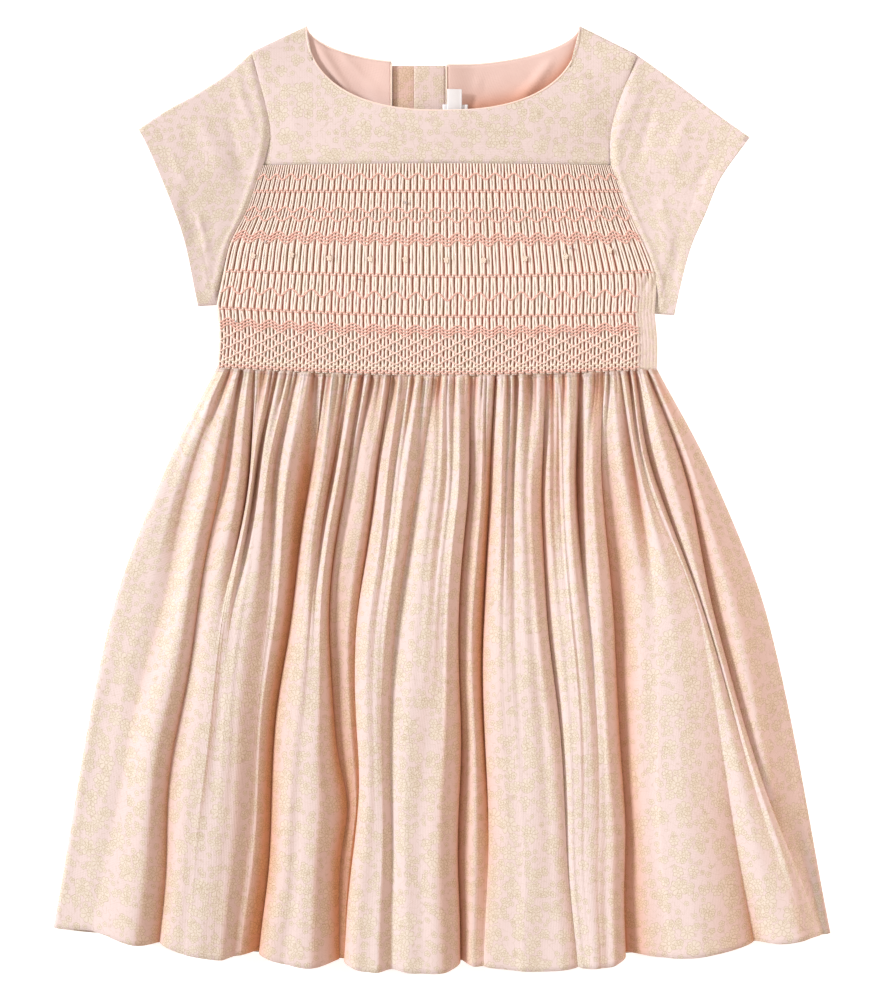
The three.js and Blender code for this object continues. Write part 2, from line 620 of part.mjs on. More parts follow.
BUTTON.levels.forEach((level, i) => {
  add(`button_${i + 1}`, buttonGeometry().translate(BUTTON.x, level, 0), COLOURS.button, 0.3);
});

export default dress;
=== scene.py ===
"""A child's smocked cotton dress, laid flat on its back and seen from straight above.

Sizes are in millimetres until a mesh is made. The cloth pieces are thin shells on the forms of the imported
solids, so the outlines and the fold table here are the ones that those solids are made from, within 1 mm.
"""

import math

import bpy
import numpy as np
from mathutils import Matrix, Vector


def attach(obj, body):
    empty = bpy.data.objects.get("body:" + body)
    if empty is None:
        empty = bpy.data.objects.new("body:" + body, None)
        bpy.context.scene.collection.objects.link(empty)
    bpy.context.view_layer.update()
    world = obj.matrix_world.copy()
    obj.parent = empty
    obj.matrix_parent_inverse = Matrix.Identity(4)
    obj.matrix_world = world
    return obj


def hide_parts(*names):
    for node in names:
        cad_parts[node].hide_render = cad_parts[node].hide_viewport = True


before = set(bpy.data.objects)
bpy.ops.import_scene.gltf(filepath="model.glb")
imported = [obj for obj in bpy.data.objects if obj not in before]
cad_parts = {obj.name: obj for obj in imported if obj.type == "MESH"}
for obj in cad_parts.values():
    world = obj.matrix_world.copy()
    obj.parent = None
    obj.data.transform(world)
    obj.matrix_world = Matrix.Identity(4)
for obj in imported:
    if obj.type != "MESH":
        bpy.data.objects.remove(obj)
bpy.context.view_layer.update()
MM = 0.001
random = np.random.default_rng(12)

# Sizes of the garment
CLOTH = 1.2  # wall of the solids' printed cotton
LINING = 1.0  # wall of their lining, strips and labels
SEAM = 0.3  # gap between two pieces that are sewn together
SHELL = 0.45  # thickness of the cloth pieces that are shells
TOP = 290.0
NECK_HALF = 84.0
NECK_MIDDLE = 0.7
FRONT_NECK = (53.0, 2.4, 2.2)  # depth, and the two powers of its curve
BACK_NECK = (24.0, 2.0, 1.85)
YOKE_SEAM = 204.5
WAIST_LEFT = (-138.2, 80.0)
WAIST_RIGHT = (131.9, 79.0)
WAIST_WIDTH = WAIST_RIGHT[0] - WAIST_LEFT[0]
WAIST_SAG = 4.5
FRONT_LEVEL = 2.8  # inside of the front where it lies on the back
SKIRT_LEVEL = 2.2  # middle of the front skirt's wall at its sides
BODICE_RISE = 10.0  # how far the middle of the front stands off the back
RISE_REACH = 65.0  # length below the neck points over which it comes to that
STRIP_BOTTOM = 76.0
OUTER_STRIP = (-30.6, -3.0)
INNER_STRIP = (-17.2, 2.2)
STRIP_LIFT = 2.3  # how far the strips stand off the table, over the buttons
LIFT_START, LIFT_LENGTH = 2.0, 16.0  # where they come off it above their lower ends
LIFT_RAMP = 20.0  # width over which a back panel comes down from them
WIDE_LABEL = (0.4, 15.9, 241.6, 214.0)  # left, right, top, bottom
SIZE_LABEL = (3.2, 12.2, 250.8, 236.0)
SLEEVE_GAP = 3.3

# Skirt: the stations down it, its sides and crests there, and a row for each valley between two folds
STATIONS = np.array([0, 0.18, 0.45, 1])
LEFT_SIDE = np.array([-138.2, -169.6, -203.8, -238.8])
RIGHT_SIDE = np.array([131.9, 164.9, 200.8, 238.8])
CREST_LEVELS = np.array([0, 15, 17, 15.5])
WAIST_RELIEF = 1.4
WAIST_SLOPE, LEFT_SLOPE, RIGHT_SLOPE = 4.0, 60.0, 26.0  # widths over which the folds die out at the sides
SIDE_START = 0.12  # how far that has come at the side seam itself
SIDE_CREST, SIDE_SUNK = 0.6, 2.0  # place and depth of the crest at the left side
HEM_POWER = 2.2
HEM_LEFT, HEM_RIGHT, HEM_MIDDLE, HEM_PULL = -263.5, -267.0, -290.0, 0.75
BACK_HEM_SHORTER = 6.0
BANK_POWER = 4  # how abruptly the steepest banks rise
FOLD_COLUMNS = (
    "waist upper middle hem deep_upper deep_middle deep_hem left_bank right_bank crest low_upper low_hem"
).split()
FOLD_ROWS = np.array([
    [-131, -154, -174.5, -212, 5, 5, 3, 0, 0.2, 0.62, 1, 0],
    [-124, -136.6, -150, -173, 9, 8, 9, 0.5, 0.7, 0.6, 1, 2],
    [-113.9, -119.5, -133, -158, 11, 1, 1, 0.6, 0.5, 0.5, 0, 0.5],
    [-101.5, -115, -127, -145, 9, 0.5, 0.5, 0.6, 0.2, 0.6, 0, 0.5],
    [-89, -102.3, -107, -127.5, 6, 3, 5, 0, 0.2, 0.35, 0, 6],
    [-72.5, -79, -90.5, -111.2, 13, 13, 12, 0, 1, 0.45, 1, 3],
    [-56.5, -67, -77, -92.5, 10, 2, 2, 0.4, 0.4, 0.45, 0, 0],
    [-46, -56.5, -65.5, -64, 9, 11, 10, 0.3, 0.9, 0.6, 1, 9],
    [-31, -36.5, -49.5, -59.3, 13, 8, 11, 0.3, 1, 0.4, 0, 1],
    [-20, -27, -40, -43, 4, 0.5, 0.5, 0.3, 0.3, 0.4, 0, 0],
    [-6, -14.5, -30.5, -31, 7, 6, 4, 0, 0.2, 0.5, 0, 0],
    [3, 0.5, -9, -10.5, 5, 0.5, 0.5, 0.3, 0.3, 0.65, 0, 0],
    [17.5, 13.5, 10, 8.5, 8, 11, 13, 0.9, 0.1, 0.55, 3, 4],
    [33, 31, 30.5, 24.5, 13, 13, 6, 0.2, 1, 0.45, 1, 3],
    [42.5, 43, 43, 48, 6, 1, 1, 0.3, 0.3, 0.7, 0, 0],
    [62, 61.8, 66, 82.5, 12, 9, 3, 0.9, 0.2, 0.5, 1, 1],
    [70.5, 73, 77, 90.5, 6, 1, 0.5, 0.3, 0.4, 0.5, 0, 0],
    [84, 84, 89, 98, 12, 3, 0.5, 0.6, 0.6, 0.6, 0, 0],
    [100, 96.5, 103.5, 110.5, 9, 12, 12, 1, 0, 0.6, 3, 5],
    [108.8, 118.8, 127.5, 141, 8, 2, 3, 0.5, 0.4, 0.4, 0, 0],
    [113.2, 123.5, 157, 190, 1, 1, 9, 0.9, 0.3, 0.5, 0, 1],
    [118.5, 128.6, 160.5, 223, 9, 4, 1, 0.7, 0.3, 0.5, 0, 1],
    [126, 147, 166, 231.5, 9, 10, 2, 0.9, 0.2, 0.4, 2, 4],
])
FOLDS = {name: FOLD_ROWS[:, i] for i, name in enumerate(FOLD_COLUMNS)}

# Detail of the looks
SKIRT_ROWS = 128
BANK_COLUMNS = 14
SIDE_COLUMNS = 12
LEAN = 3.4  # how far an abrupt fold's edge hangs over its valley
PLEATS = 126
PLEAT_CLOTH = 4.6  # cloth in one pleat of the smocking
SMOCKING_DEPTH = 129.5
SMOCKING_ROWS = 124
RIDGE_HEIGHT = 2.1
UV_UNIT = 100.0  # millimetres of cloth to one unit of its texture coordinates


# Numbers and curves
def mix(a, b, t):
    return a + (b - a) * t


def even(count):
    return np.linspace(0, 1, count)


def smooth(t):
    t = np.clip(t, 0, 1)
    return t * t * (3 - 2 * t)


def bell(distance, width):
    return np.exp(-((distance / width) ** 2))


def rounded(distance, radius):
    """From 0 at an edge to 1 at radius from it, as a round edge rises."""
    share = np.clip(distance / radius, 0, 1)
    return np.sqrt(1 - (1 - share) ** 2)


def through(points):
    """A smooth curve through points, as a function of the share of its length."""
    p = np.array(points, float)
    ends = np.vstack([p[:1], p, p[-1:]])
    t = even(50)[:, None]
    pieces = []
    for a, b, c, d in zip(ends, ends[1:], ends[2:], ends[3:]):
        start, end = (c - a) / 2, (d - b) / 2
        bend, twist = 3 * (c - b) - 2 * start - end, 2 * (b - c) + start + end
        pieces.append(b + start * t + bend * t**2 + twist * t**3)
    fine = np.vstack(pieces)
    length = np.r_[0, np.cumsum(np.linalg.norm(np.diff(fine, axis=0), axis=1))]
    return lambda s: np.stack([np.interp(s, length / length[-1], fine[:, k]) for k in range(p.shape[1])], -1)


def line(a, b):
    a, b = np.array(a, float), np.array(b, float)
    return lambda t: mix(a, b, np.asarray(t, float)[..., None])


def chained(*parts):
    """One curve out of several, each with its share of the whole."""
    ends = np.cumsum([share for _, share in parts])

    def curve(t):
        t = np.asarray(t, float)
        result = parts[0][0](np.clip(t / parts[0][1], 0, 1))
        for (part, share), start in zip(parts[1:], ends):
            beyond = (t > start)[..., None]
            result = np.where(beyond, part(np.clip((t - start) / share, 0, 1)), result)
        return result

    return curve


def neck_level(x, neck):
    depth, inner, outer = neck
    share = np.minimum(1, np.abs(x - NECK_MIDDLE) / NECK_HALF)
    return TOP - depth * (1 - share**inner) ** (1 / outer)


def neck_curve(neck, start, end):
    angles = [math.acos((x - NECK_MIDDLE) / NECK_HALF) for x in (start, end)]

    def curve(t):
        x = NECK_MIDDLE + NECK_HALF * np.cos(mix(*angles, np.asarray(t, float)))
        return np.stack([x, neck_level(x, neck)], -1)

    return curve


def waist_level(x):
    t = (x - WAIST_LEFT[0]) / WAIST_WIDTH
    return mix(WAIST_LEFT[1], WAIST_RIGHT[1], t) - WAIST_SAG * np.sin(math.pi * np.clip(t, 0, 1))


def waist_curve(start, end):
    return lambda t: np.stack([mix(start, end, t), waist_level(mix(start, end, t))], -1)


SIDES = ("left", "right")
NECK_POINT = {"left": (NECK_MIDDLE - NECK_HALF, TOP), "right": (NECK_MIDDLE + NECK_HALF, TOP)}
SHOULDER = {"left": (-117, 274.1), "right": (119.8, 272.5)}
CORNER = {"left": (-110.8, YOKE_SEAM), "right": (104.6, YOKE_SEAM)}
UNDERARM = {"left": (-138.4, 119), "right": (130.6, 113.6)}
CUFF_TOP = {"left": (-186.3, 226.9), "right": (188.9, 222)}
CUFF_END = {"left": (-149.7, 118.1), "right": (142.4, 112.6)}
UPPER_ARMHOLE = {
    "left": through([SHOULDER["left"], (-109.5, 245), (-106.8, 224), CORNER["left"]]),
    "right": through([SHOULDER["right"], (109.6, 245), (104.6, 223), CORNER["right"]]),
}
LOWER_ARMHOLE = {
    "left": through([CORNER["left"], (-119.5, 178.5), (-129.5, 158), (-134, 140), UNDERARM["left"]]),
    "right": through([CORNER["right"], (114.5, 177), (125.5, 152), (131.2, 134), UNDERARM["right"]]),
}
SIDE_SEAM = {
    "left": through([UNDERARM["left"], (-136.9, 100), WAIST_LEFT]),
    "right": through([UNDERARM["right"], (132.2, 95), WAIST_RIGHT]),
}
ARMHOLE_AND_SIDE = {w: chained((LOWER_ARMHOLE[w], 0.68), (SIDE_SEAM[w], 0.32)) for w in SIDES}
WHOLE_SIDE = {
    w: chained((UPPER_ARMHOLE[w], 0.36), (LOWER_ARMHOLE[w], 0.42), (SIDE_SEAM[w], 0.22)) for w in SIDES
}
SLEEVE_TOP = {
    "left": through([SHOULDER["left"], (-132.5, 260.5), (-152, 248), (-171, 237.5), CUFF_TOP["left"]]),
    "right": through([SHOULDER["right"], (141, 257.5), (168, 237), CUFF_TOP["right"]]),
}
CUFF_POINTS = {
    "left": [(-179.3, 213.5), (-165.4, 180.4), (-157.4, 156.5), (-151.4, 127.1)],
    "right": [(170.9, 196.9), (161.5, 175.2), (153.1, 156.1), (147.6, 136.9)],
}
CUFF = {w: through([CUFF_TOP[w], *points, CUFF_END[w]]) for w, points in CUFF_POINTS.items()}


# Levels of the laid layers
def half_width(x, y):
    sides = [WHOLE_SIDE[w](even(61))[::-1] for w in SIDES]
    widths = [np.interp(y, points[:, 1], np.abs(points[:, 0])) for points in sides]
    return np.where(x < 0, *widths)


def front_inside(x, y):
    across = np.minimum(1, np.abs(x) / half_width(x, y))
    return FRONT_LEVEL + BODICE_RISE * (1 - across**2) * smooth((TOP - y) / RISE_REACH)


def outer_strip_level(x, y):
    return STRIP_LIFT * smooth((y - STRIP_BOTTOM - LIFT_START) / LIFT_LENGTH)


def inner_strip_level(x, y):
    return outer_strip_level(x, y) + LINING + SEAM


def back_level(x, y):
    left = outer_strip_level(x, y) * smooth((x - OUTER_STRIP[0] + LIFT_RAMP) / LIFT_RAMP)
    right = inner_strip_level(x, y) * smooth((INNER_STRIP[1] + LIFT_RAMP - x) / LIFT_RAMP)
    return np.where(x < INNER_STRIP[0], left, right)


def lining_level(x, y):
    return back_level(x, y) + CLOTH + SEAM


def creases(x, y, table):
    """Height of soft ridges and troughs, each along a straight line: x, y, end x, end y, width and height."""
    total = np.zeros_like(x)
    for x0, y0, x1, y1, width, height in table:
        along = np.array([x1 - x0, y1 - y0])
        length = np.hypot(*along)
        along = along / length
        s = ((x - x0) * along[0] + (y - y0) * along[1]) / length
        off = (x - x0) * along[1] - (y - y0) * along[0]
        spread = width * (0.6 + 0.8 * np.clip(s, 0, 1))
        total += height * bell(off, spread) * smooth(3.5 * s) * smooth(3.5 * (1 - s))
    return total


def waves(x, y, height, length):
    """Low uneven swells, as flat cloth has."""
    a = np.sin(x / length + 1.3 * np.sin(y / length / 1.7))
    b = np.sin(y / length / 0.8 + 0.9 * np.sin(x / length / 1.3) + 2)
    return height * a * b


# Meshes
def patch(top, bottom, left, right, u, v):
    """Points between four outline curves that meet at their ends, a row for each v."""
    u, v = np.asarray(u, float), np.asarray(v, float)
    across, down = u[None, :, None], v[:, None, None]
    t, b, l, r = top(u)[None], bottom(u)[None], left(v)[:, None], right(v)[:, None]
    corners = mix(mix(t[:, :1], t[:, -1:], across), mix(b[:, :1], b[:, -1:], across), down)
    return mix(t, b, down) + mix(l, r, across) - corners


def rectangle(left, right, top, bottom, columns, rows):
    corners = [[(x, y) for x in (left, right)] for y in (top, bottom)]
    (a, b), (c, d) = corners
    return patch(line(a, b), line(c, d), line(a, c), line(b, d), even(columns), even(rows))


def raised(grid, level):
    """The grid's points with their heights."""
    return np.concatenate([grid, level(grid[..., 0], grid[..., 1])[..., None]], -1)


def lengths(grid):
    """Each point's way across and down the cloth from the grid's middle column and first row."""
    across = np.linalg.norm(np.diff(grid, axis=1, prepend=grid[:, :1]), axis=2).cumsum(1)
    down = np.linalg.norm(np.diff(grid, axis=0, prepend=grid[:1]), axis=2).cumsum(0)
    middle = grid.shape[1] // 2
    return np.stack([across - across[:, middle : middle + 1], -down], -1)


def placed(name, data):
    obj = bpy.data.objects.new(name, data)
    bpy.context.scene.collection.objects.link(obj)
    return obj


def piece(name, vertices, faces, material, uv=None, values=None):
    """A mesh object that rides on the dress; its vertices are in millimetres."""
    mesh = bpy.data.meshes.new(name)
    mesh.from_pydata((np.asarray(vertices) * MM).tolist(), [], faces)
    mesh.shade_smooth()
    corners = np.zeros(len(mesh.loops), int)
    mesh.loops.foreach_get("vertex_index", corners)
    if uv is not None:
        layer = mesh.uv_layers.new(name="Cloth")
        layer.data.foreach_set("uv", (np.asarray(uv)[corners] / UV_UNIT).astype(np.float32).ravel())
    for key, value in (values or {}).items():
        attribute = mesh.attributes.new(key, "FLOAT", "POINT")
        attribute.data.foreach_set("value", np.asarray(value, np.float32).ravel())
    mesh.materials.append(material)
    obj = placed(name, mesh)
    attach(obj, "root")
    return obj


def grid_faces(rows, columns, closed=False):
    index = np.arange(rows * columns).reshape(rows, columns)
    if closed:
        index = np.c_[index, index[:, :1]]
    quads = np.stack([index[:-1, :-1], index[1:, :-1], index[1:, 1:], index[:-1, 1:]], -1)
    return quads.reshape(-1, 4).tolist()


def cloth(node, grid, material, uv=None, values=None, closed=False, shell=SHELL):
    """A piece of cloth through a grid of points that stands for a solid of the frame."""
    uv = lengths(grid) if uv is None else uv
    faces = grid_faces(*grid.shape[:2], closed)
    obj = piece(f"{node}_cloth", grid.reshape(-1, 3), faces, material, uv.reshape(-1, 2), values)
    if shell:
        solidify = obj.modifiers.new("Cloth thickness", "SOLIDIFY")
        solidify.thickness = shell * MM
        solidify.offset = -1
    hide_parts(node)
    return obj


def strands(name, paths, radius, material, sides=6):
    """Round strands along many paths, an array of strands by points by 3."""
    paths = np.asarray(paths, float)
    count, steps = paths.shape[:2]
    along = np.gradient(paths, axis=1)
    along /= np.linalg.norm(along, axis=2, keepdims=True)
    side = np.cross(along, [0.0, 0.0, 1.0])
    side /= np.maximum(np.linalg.norm(side, axis=2, keepdims=True), 1e-6)
    up = np.cross(side, along)
    angles = np.linspace(0, 2 * math.pi, sides, endpoint=False)
    ring = side[:, :, None] * np.cos(angles)[:, None] + up[:, :, None] * np.sin(angles)[:, None]
    vertices = paths[:, :, None] + radius * ring
    index = np.arange(count * steps * sides).reshape(count, steps, sides)
    turned = np.roll(index, -1, axis=2)
    quads = np.stack([index[:, :-1], turned[:, :-1], turned[:, 1:], index[:, 1:]], -1).reshape(-1, 4)
    faces = quads.tolist() + index[:, 0, ::-1].tolist() + index[:, -1].tolist()
    return piece(name, vertices.reshape(-1, 3), faces, material)


# Materials
class Nodes:
    """Builds one material's nodes; every value is a socket or a number."""

    def __init__(self, name):
        self.material = bpy.data.materials.new(name)
        self.material.use_nodes = True
        self.tree = self.material.node_tree
        self.shader = self.tree.nodes["Principled BSDF"]

    def put(self, socket, value):
        if isinstance(value, bpy.types.NodeSocket):
            self.tree.links.new(value, socket)
        else:
            socket.default_value = value

    def add(self, kind, inputs=None, **settings):
        node = self.tree.nodes.new(kind)
        for key, value in settings.items():
            setattr(node, key, value)
        for key, value in (inputs or {}).items():
            self.put(node.inputs[key], value)
        return node

    def math(self, operation, a, b=0.0):
        return self.add("ShaderNodeMath", {0: a, 1: b}, operation=operation).outputs[0]

    def times(self, a, b):
        return self.math("MULTIPLY", a, b)

    def vector(self, operation, a, b=(0.0, 0.0, 0.0)):
        return self.add("ShaderNodeVectorMath", {0: a, 1: b}, operation=operation)

    def between(self, value, low, high):
        """From 0 at low to 1 at high, smoothly."""
        inputs = {"Value": value, "From Min": low, "From Max": high}
        return self.add("ShaderNodeMapRange", inputs, interpolation_type="SMOOTHSTEP").outputs["Result"]

    def blend(self, share, a, b, kind="MIX"):
        node = self.add("ShaderNodeMix", data_type="RGBA", blend_type=kind)
        self.put(node.inputs["Factor"], share)
        for socket, value in ((node.inputs[6], a), (node.inputs[7], b)):
            self.put(socket, value if isinstance(value, bpy.types.NodeSocket) else (*value, 1.0))
        return node.outputs[2]

    def shaded(self, share, colour):
        """The colour with a share of the warm shade over it."""
        return self.blend(share, colour, self.blend(1.0, colour, WARM_SHADE, "MULTIPLY"))

    def on_cloth(self):
        return self.add("ShaderNodeUVMap", uv_map="Cloth").outputs[0]

    def attribute(self, name):
        return self.add("ShaderNodeAttribute", attribute_name=name).outputs["Fac"]

    def noise(self, vector, scale, detail=2.0):
        inputs = {"Vector": vector, "Scale": scale, "Detail": detail}
        return self.add("ShaderNodeTexNoise", inputs).outputs["Fac"]

    def bump(self, height, distance):
        inputs = {"Height": height, "Distance": distance, "Strength": 1.0}
        self.put(self.shader.inputs["Normal"], self.add("ShaderNodeBump", inputs).outputs["Normal"])

    def finish(self, **values):
        for key, value in values.items():
            self.put(self.shader.inputs[key.replace("_", " ")], value)
        return self.material


def weave(nodes, where):
    """Height of a plain weave's threads."""
    inputs = {"Vector": where, "Scale": 31.0, "Distortion": 0.6}
    x, y = (nodes.add("ShaderNodeTexWave", inputs, bands_direction=way).outputs["Fac"] for way in ("X", "Y"))
    return nodes.math("ADD", x, y)


def flower_layer(nodes, where, spacing, radius, petals, kept, shift):
    """Petals and thin outlines of flowers scattered on the cloth; sizes in millimetres."""
    moved = nodes.vector("ADD", where, (shift, shift * 0.7, 0.0)).outputs[0]
    inputs = {"Vector": moved, "Scale": UV_UNIT / spacing, "Randomness": 0.85}
    cells = nodes.add("ShaderNodeTexVoronoi", inputs, voronoi_dimensions="2D")
    way = nodes.vector("SUBTRACT", moved, cells.outputs["Position"])
    parts = nodes.add("ShaderNodeSeparateXYZ", {0: way.outputs[0]})
    chance = nodes.add("ShaderNodeSeparateColor", {0: cells.outputs["Color"]})
    distance = nodes.vector("LENGTH", way.outputs[0]).outputs["Value"]
    distance = nodes.times(distance, UV_UNIT / radius)
    distance = nodes.math("DIVIDE", distance, nodes.math("ADD", nodes.times(chance.outputs[2], 0.35), 0.75))
    angle = nodes.math("ARCTAN2", parts.outputs[1], parts.outputs[0])
    turned = nodes.math("ADD", nodes.times(angle, petals / 2), nodes.times(chance.outputs[1], 6.0))
    lobe = nodes.math("ABSOLUTE", nodes.math("COSINE", turned))
    edge = nodes.math("ADD", nodes.times(nodes.math("POWER", lobe, 0.5), 0.42), 0.58)
    gap = nodes.math("SUBTRACT", edge, distance)
    there = nodes.math("GREATER_THAN", chance.outputs[0], 1 - kept)
    line_width = 0.2 / radius
    petal = nodes.times(nodes.between(gap, 0.0, line_width), there)
    rim = nodes.between(nodes.math("ABSOLUTE", gap), line_width * 0.4, line_width * 1.5)
    rim = nodes.math("SUBTRACT", 1.0, rim)
    split = nodes.times(nodes.between(lobe, 0.42, 0.16), nodes.between(distance, 0.22, 0.34))
    heart = nodes.math("ABSOLUTE", nodes.math("SUBTRACT", distance, 0.22))
    heart = nodes.between(heart, line_width * 1.4, line_width * 0.5)
    inside = nodes.between(gap, -line_width, 0.0)
    lines = nodes.math("MAXIMUM", nodes.times(nodes.math("MAXIMUM", split, heart), inside), rim)
    return petal, nodes.times(lines, there)


GROUND = (0.72, 0.60, 0.58)
PETAL = (0.71, 0.635, 0.535)
OUTLINE = (0.44, 0.34, 0.22)
WARM_SHADE = (0.86, 0.45, 0.24)
# Painted shade for the gaps between the smocking's pleats and the troughs of the gathers below the waist
GAP_SHADE_BROWN = (0.38, 0.17, 0.08)
GAP_SHADE_RED = (0.52, 0.15, 0.09)
# Painted highlight on the tops of the smocking's pleats
RIDGE_HIGHLIGHT = (0.95, 0.85, 0.76)
# Spacing and radius of each size of flower, its petals, how many are kept and how far the layer is moved
FLOWERS = ((13.0, 5.3, 8, 0.72, 0.0), (8.6, 3.2, 6, 0.6, 3.1), (5.2, 1.8, 5, 0.6, 7.7))


def print_cotton():
    """Pale pink lawn with a scattered small flower print of cream petals and thin beige outlines."""
    nodes = Nodes("print_cotton")
    where = nodes.on_cloth()
    colour = nodes.blend(nodes.noise(where, 6.0), GROUND, tuple(c * 0.96 for c in GROUND))
    for layer in FLOWERS:
        petal, lines = flower_layer(nodes, where, *layer)
        colour = nodes.blend(nodes.times(petal, 0.75), colour, PETAL)
        colour = nodes.blend(nodes.times(lines, 0.58), colour, OUTLINE)
    twigs = nodes.noise(where, 17.0, 1.0)
    twigs = nodes.between(nodes.math("ABSOLUTE", nodes.math("SUBTRACT", twigs, 0.5)), 0.016, 0.004)
    colour = nodes.blend(nodes.times(twigs, 0.3), colour, OUTLINE)
    # Painted highlight: the tops of the pleats, where the ridge attribute is set, are made lighter cream.
    colour = nodes.blend(nodes.times(nodes.attribute("ridge"), 0.85), colour, RIDGE_HIGHLIGHT)
    colour = nodes.shaded(nodes.attribute("shade"), colour)
    # Painted shade: brown and red where the gap attribute is set, in the gaps between pleats and the troughs
    # of the gathers.
    gap_shade_colour = nodes.blend(nodes.between(nodes.noise(where, 3.0), 0.4, 0.6), GAP_SHADE_BROWN, GAP_SHADE_RED)
    colour = nodes.blend(nodes.attribute("gap"), colour, gap_shade_colour)
    nodes.bump(weave(nodes, where), 0.00006)
    return nodes.finish(Base_Color=colour, Roughness=0.82, Sheen_Weight=0.12, Specular_IOR_Level=0.25)


def lining_cotton():
    nodes = Nodes("lining_cotton")
    where = nodes.on_cloth()
    colour = nodes.blend(nodes.noise(where, 9.0, 3.0), (0.73, 0.54, 0.49), (0.69, 0.49, 0.44))
    colour = nodes.shaded(nodes.attribute("shade"), colour)
    nodes.bump(weave(nodes, where), 0.00005)
    return nodes.finish(Base_Color=colour, Roughness=0.8, Sheen_Weight=0.1, Specular_IOR_Level=0.25)


def label_satin():
    nodes = Nodes("label_satin")
    where = nodes.on_cloth()
    inputs = {"Vector": where, "Scale": 60.0}
    ribs = nodes.add("ShaderNodeTexWave", inputs, bands_direction="Y").outputs["Fac"]
    colour = nodes.blend(ribs, (0.86, 0.86, 0.88), (0.80, 0.80, 0.83))
    nodes.bump(ribs, 0.00004)
    return nodes.finish(Base_Color=colour, Roughness=0.4)


def mottled(name, scale, detail, colour, other, bump, **values):
    """Two close colours mixed by a noise, which also raises the surface by up to bump metres."""
    nodes = Nodes(name)
    spots = nodes.noise(nodes.add("ShaderNodeTexCoord").outputs["Object"], scale, detail)
    if bump:
        nodes.bump(spots, bump)
    return nodes.finish(Base_Color=nodes.blend(spots, colour, other), **values)


def thread(name, colour, darker):
    """Stranded embroidery cotton with a slight twist and sheen."""
    return mottled(name, 2600.0, 1.0, colour, darker, 0.00008, Roughness=0.6, Sheen_Weight=0.2)


def button_shell():
    light, lighter = (0.87, 0.76, 0.68), (0.92, 0.88, 0.84)
    return mottled("button_shell", 420.0, 3.0, light, lighter, 0.0001, Roughness=0.18, Coat_Weight=0.5)


def bead_glass():
    looks = {"Roughness": 0.04, "Transmission_Weight": 0.75, "IOR": 1.5}
    return mottled("bead_glass", 900.0, 2.0, (0.95, 0.93, 0.92), (0.85, 0.83, 0.84), 0, **looks)


def floor_paper():
    looks = {"Roughness": 0.9, "Emission_Color": (1.0, 1.0, 1.0, 1.0), "Emission_Strength": 0.6}
    return mottled("floor_paper", 14.0, 2.0, (0.93, 0.93, 0.93), (0.915, 0.915, 0.915), 0, **looks)


PRINT = print_cotton()
PINK = lining_cotton()
SATIN = label_satin()
CORAL = thread("thread_coral", (0.87, 0.55, 0.47), (0.80, 0.45, 0.37))
PALE = thread("thread_pale", (0.91, 0.69, 0.61), (0.85, 0.60, 0.51))
CREAM = thread("thread_cream", (0.90, 0.78, 0.66), (0.82, 0.66, 0.54))
EDGE = thread("edge_cotton", (0.88, 0.70, 0.61), (0.84, 0.63, 0.54))
THREADS = {"coral": CORAL, "pale": PALE, "cream": CREAM}


# Front yoke
YOKE_CREASES = [
    (-98, 262, -86, 214, 5, 0.5),
    (-60, 236, -42, 208, 7, -0.4),
    (84, 268, 96, 214, 6, 0.5),
    (52, 240, 64, 208, 7, 0.4),
    (-8, 232, 2, 206, 8, 0.35),
]


SHOULDER_SHARE, NECK_SHARE = 0.16, 0.68  # of the yoke's top edge


def edge_roll(grid, drop, width):
    """How much lower the cloth lies near the side edges, where it turns into its seam."""
    left = np.abs(grid[..., 0] - grid[:, :1, 0])
    right = np.abs(grid[..., 0] - grid[:, -1:, 0])
    return -drop * (bell(left, width) + bell(right, width))


def rim_along(name, curve, level, radius, material, count=120):
    """A fine rolled edge along a curve."""
    return strands(name, raised(curve(even(count))[None], level), radius, material, 8)


def front_yoke():
    neck = neck_curve(FRONT_NECK, NECK_POINT["left"][0], NECK_POINT["right"][0])
    top = chained(
        (line(SHOULDER["left"], NECK_POINT["left"]), SHOULDER_SHARE),
        (neck, NECK_SHARE),
        (line(NECK_POINT["right"], SHOULDER["right"]), SHOULDER_SHARE),
    )
    u = np.unique(np.r_[even(151), SHOULDER_SHARE, 1 - SHOULDER_SHARE, 0.004, 0.008, 0.992, 0.996])
    v = np.unique(np.r_[even(45), 0.985, 0.995])
    seam = line(CORNER["left"], CORNER["right"])
    flat = patch(top, seam, UPPER_ARMHOLE["left"], UPPER_ARMHOLE["right"], u, v)
    x, y = flat[..., 0], flat[..., 1]
    level = front_inside(x, y) + CLOTH + creases(x, y, YOKE_CREASES) + waves(x, y, 0.25, 17)
    grid = np.concatenate([flat, level[..., None]], -1)
    grid[..., 2] += edge_roll(grid, 0.5, 1.4)
    grid[..., 2] -= 0.8 * bell(grid[..., 1] - YOKE_SEAM, 1.3)
    obj = cloth("front_yoke", grid, PRINT, uv=grid[..., :2])
    edge = rim_along("front_neck_edge", neck, lambda x, y: front_inside(x, y) + CLOTH - 0.45, 0.62, EDGE, 160)


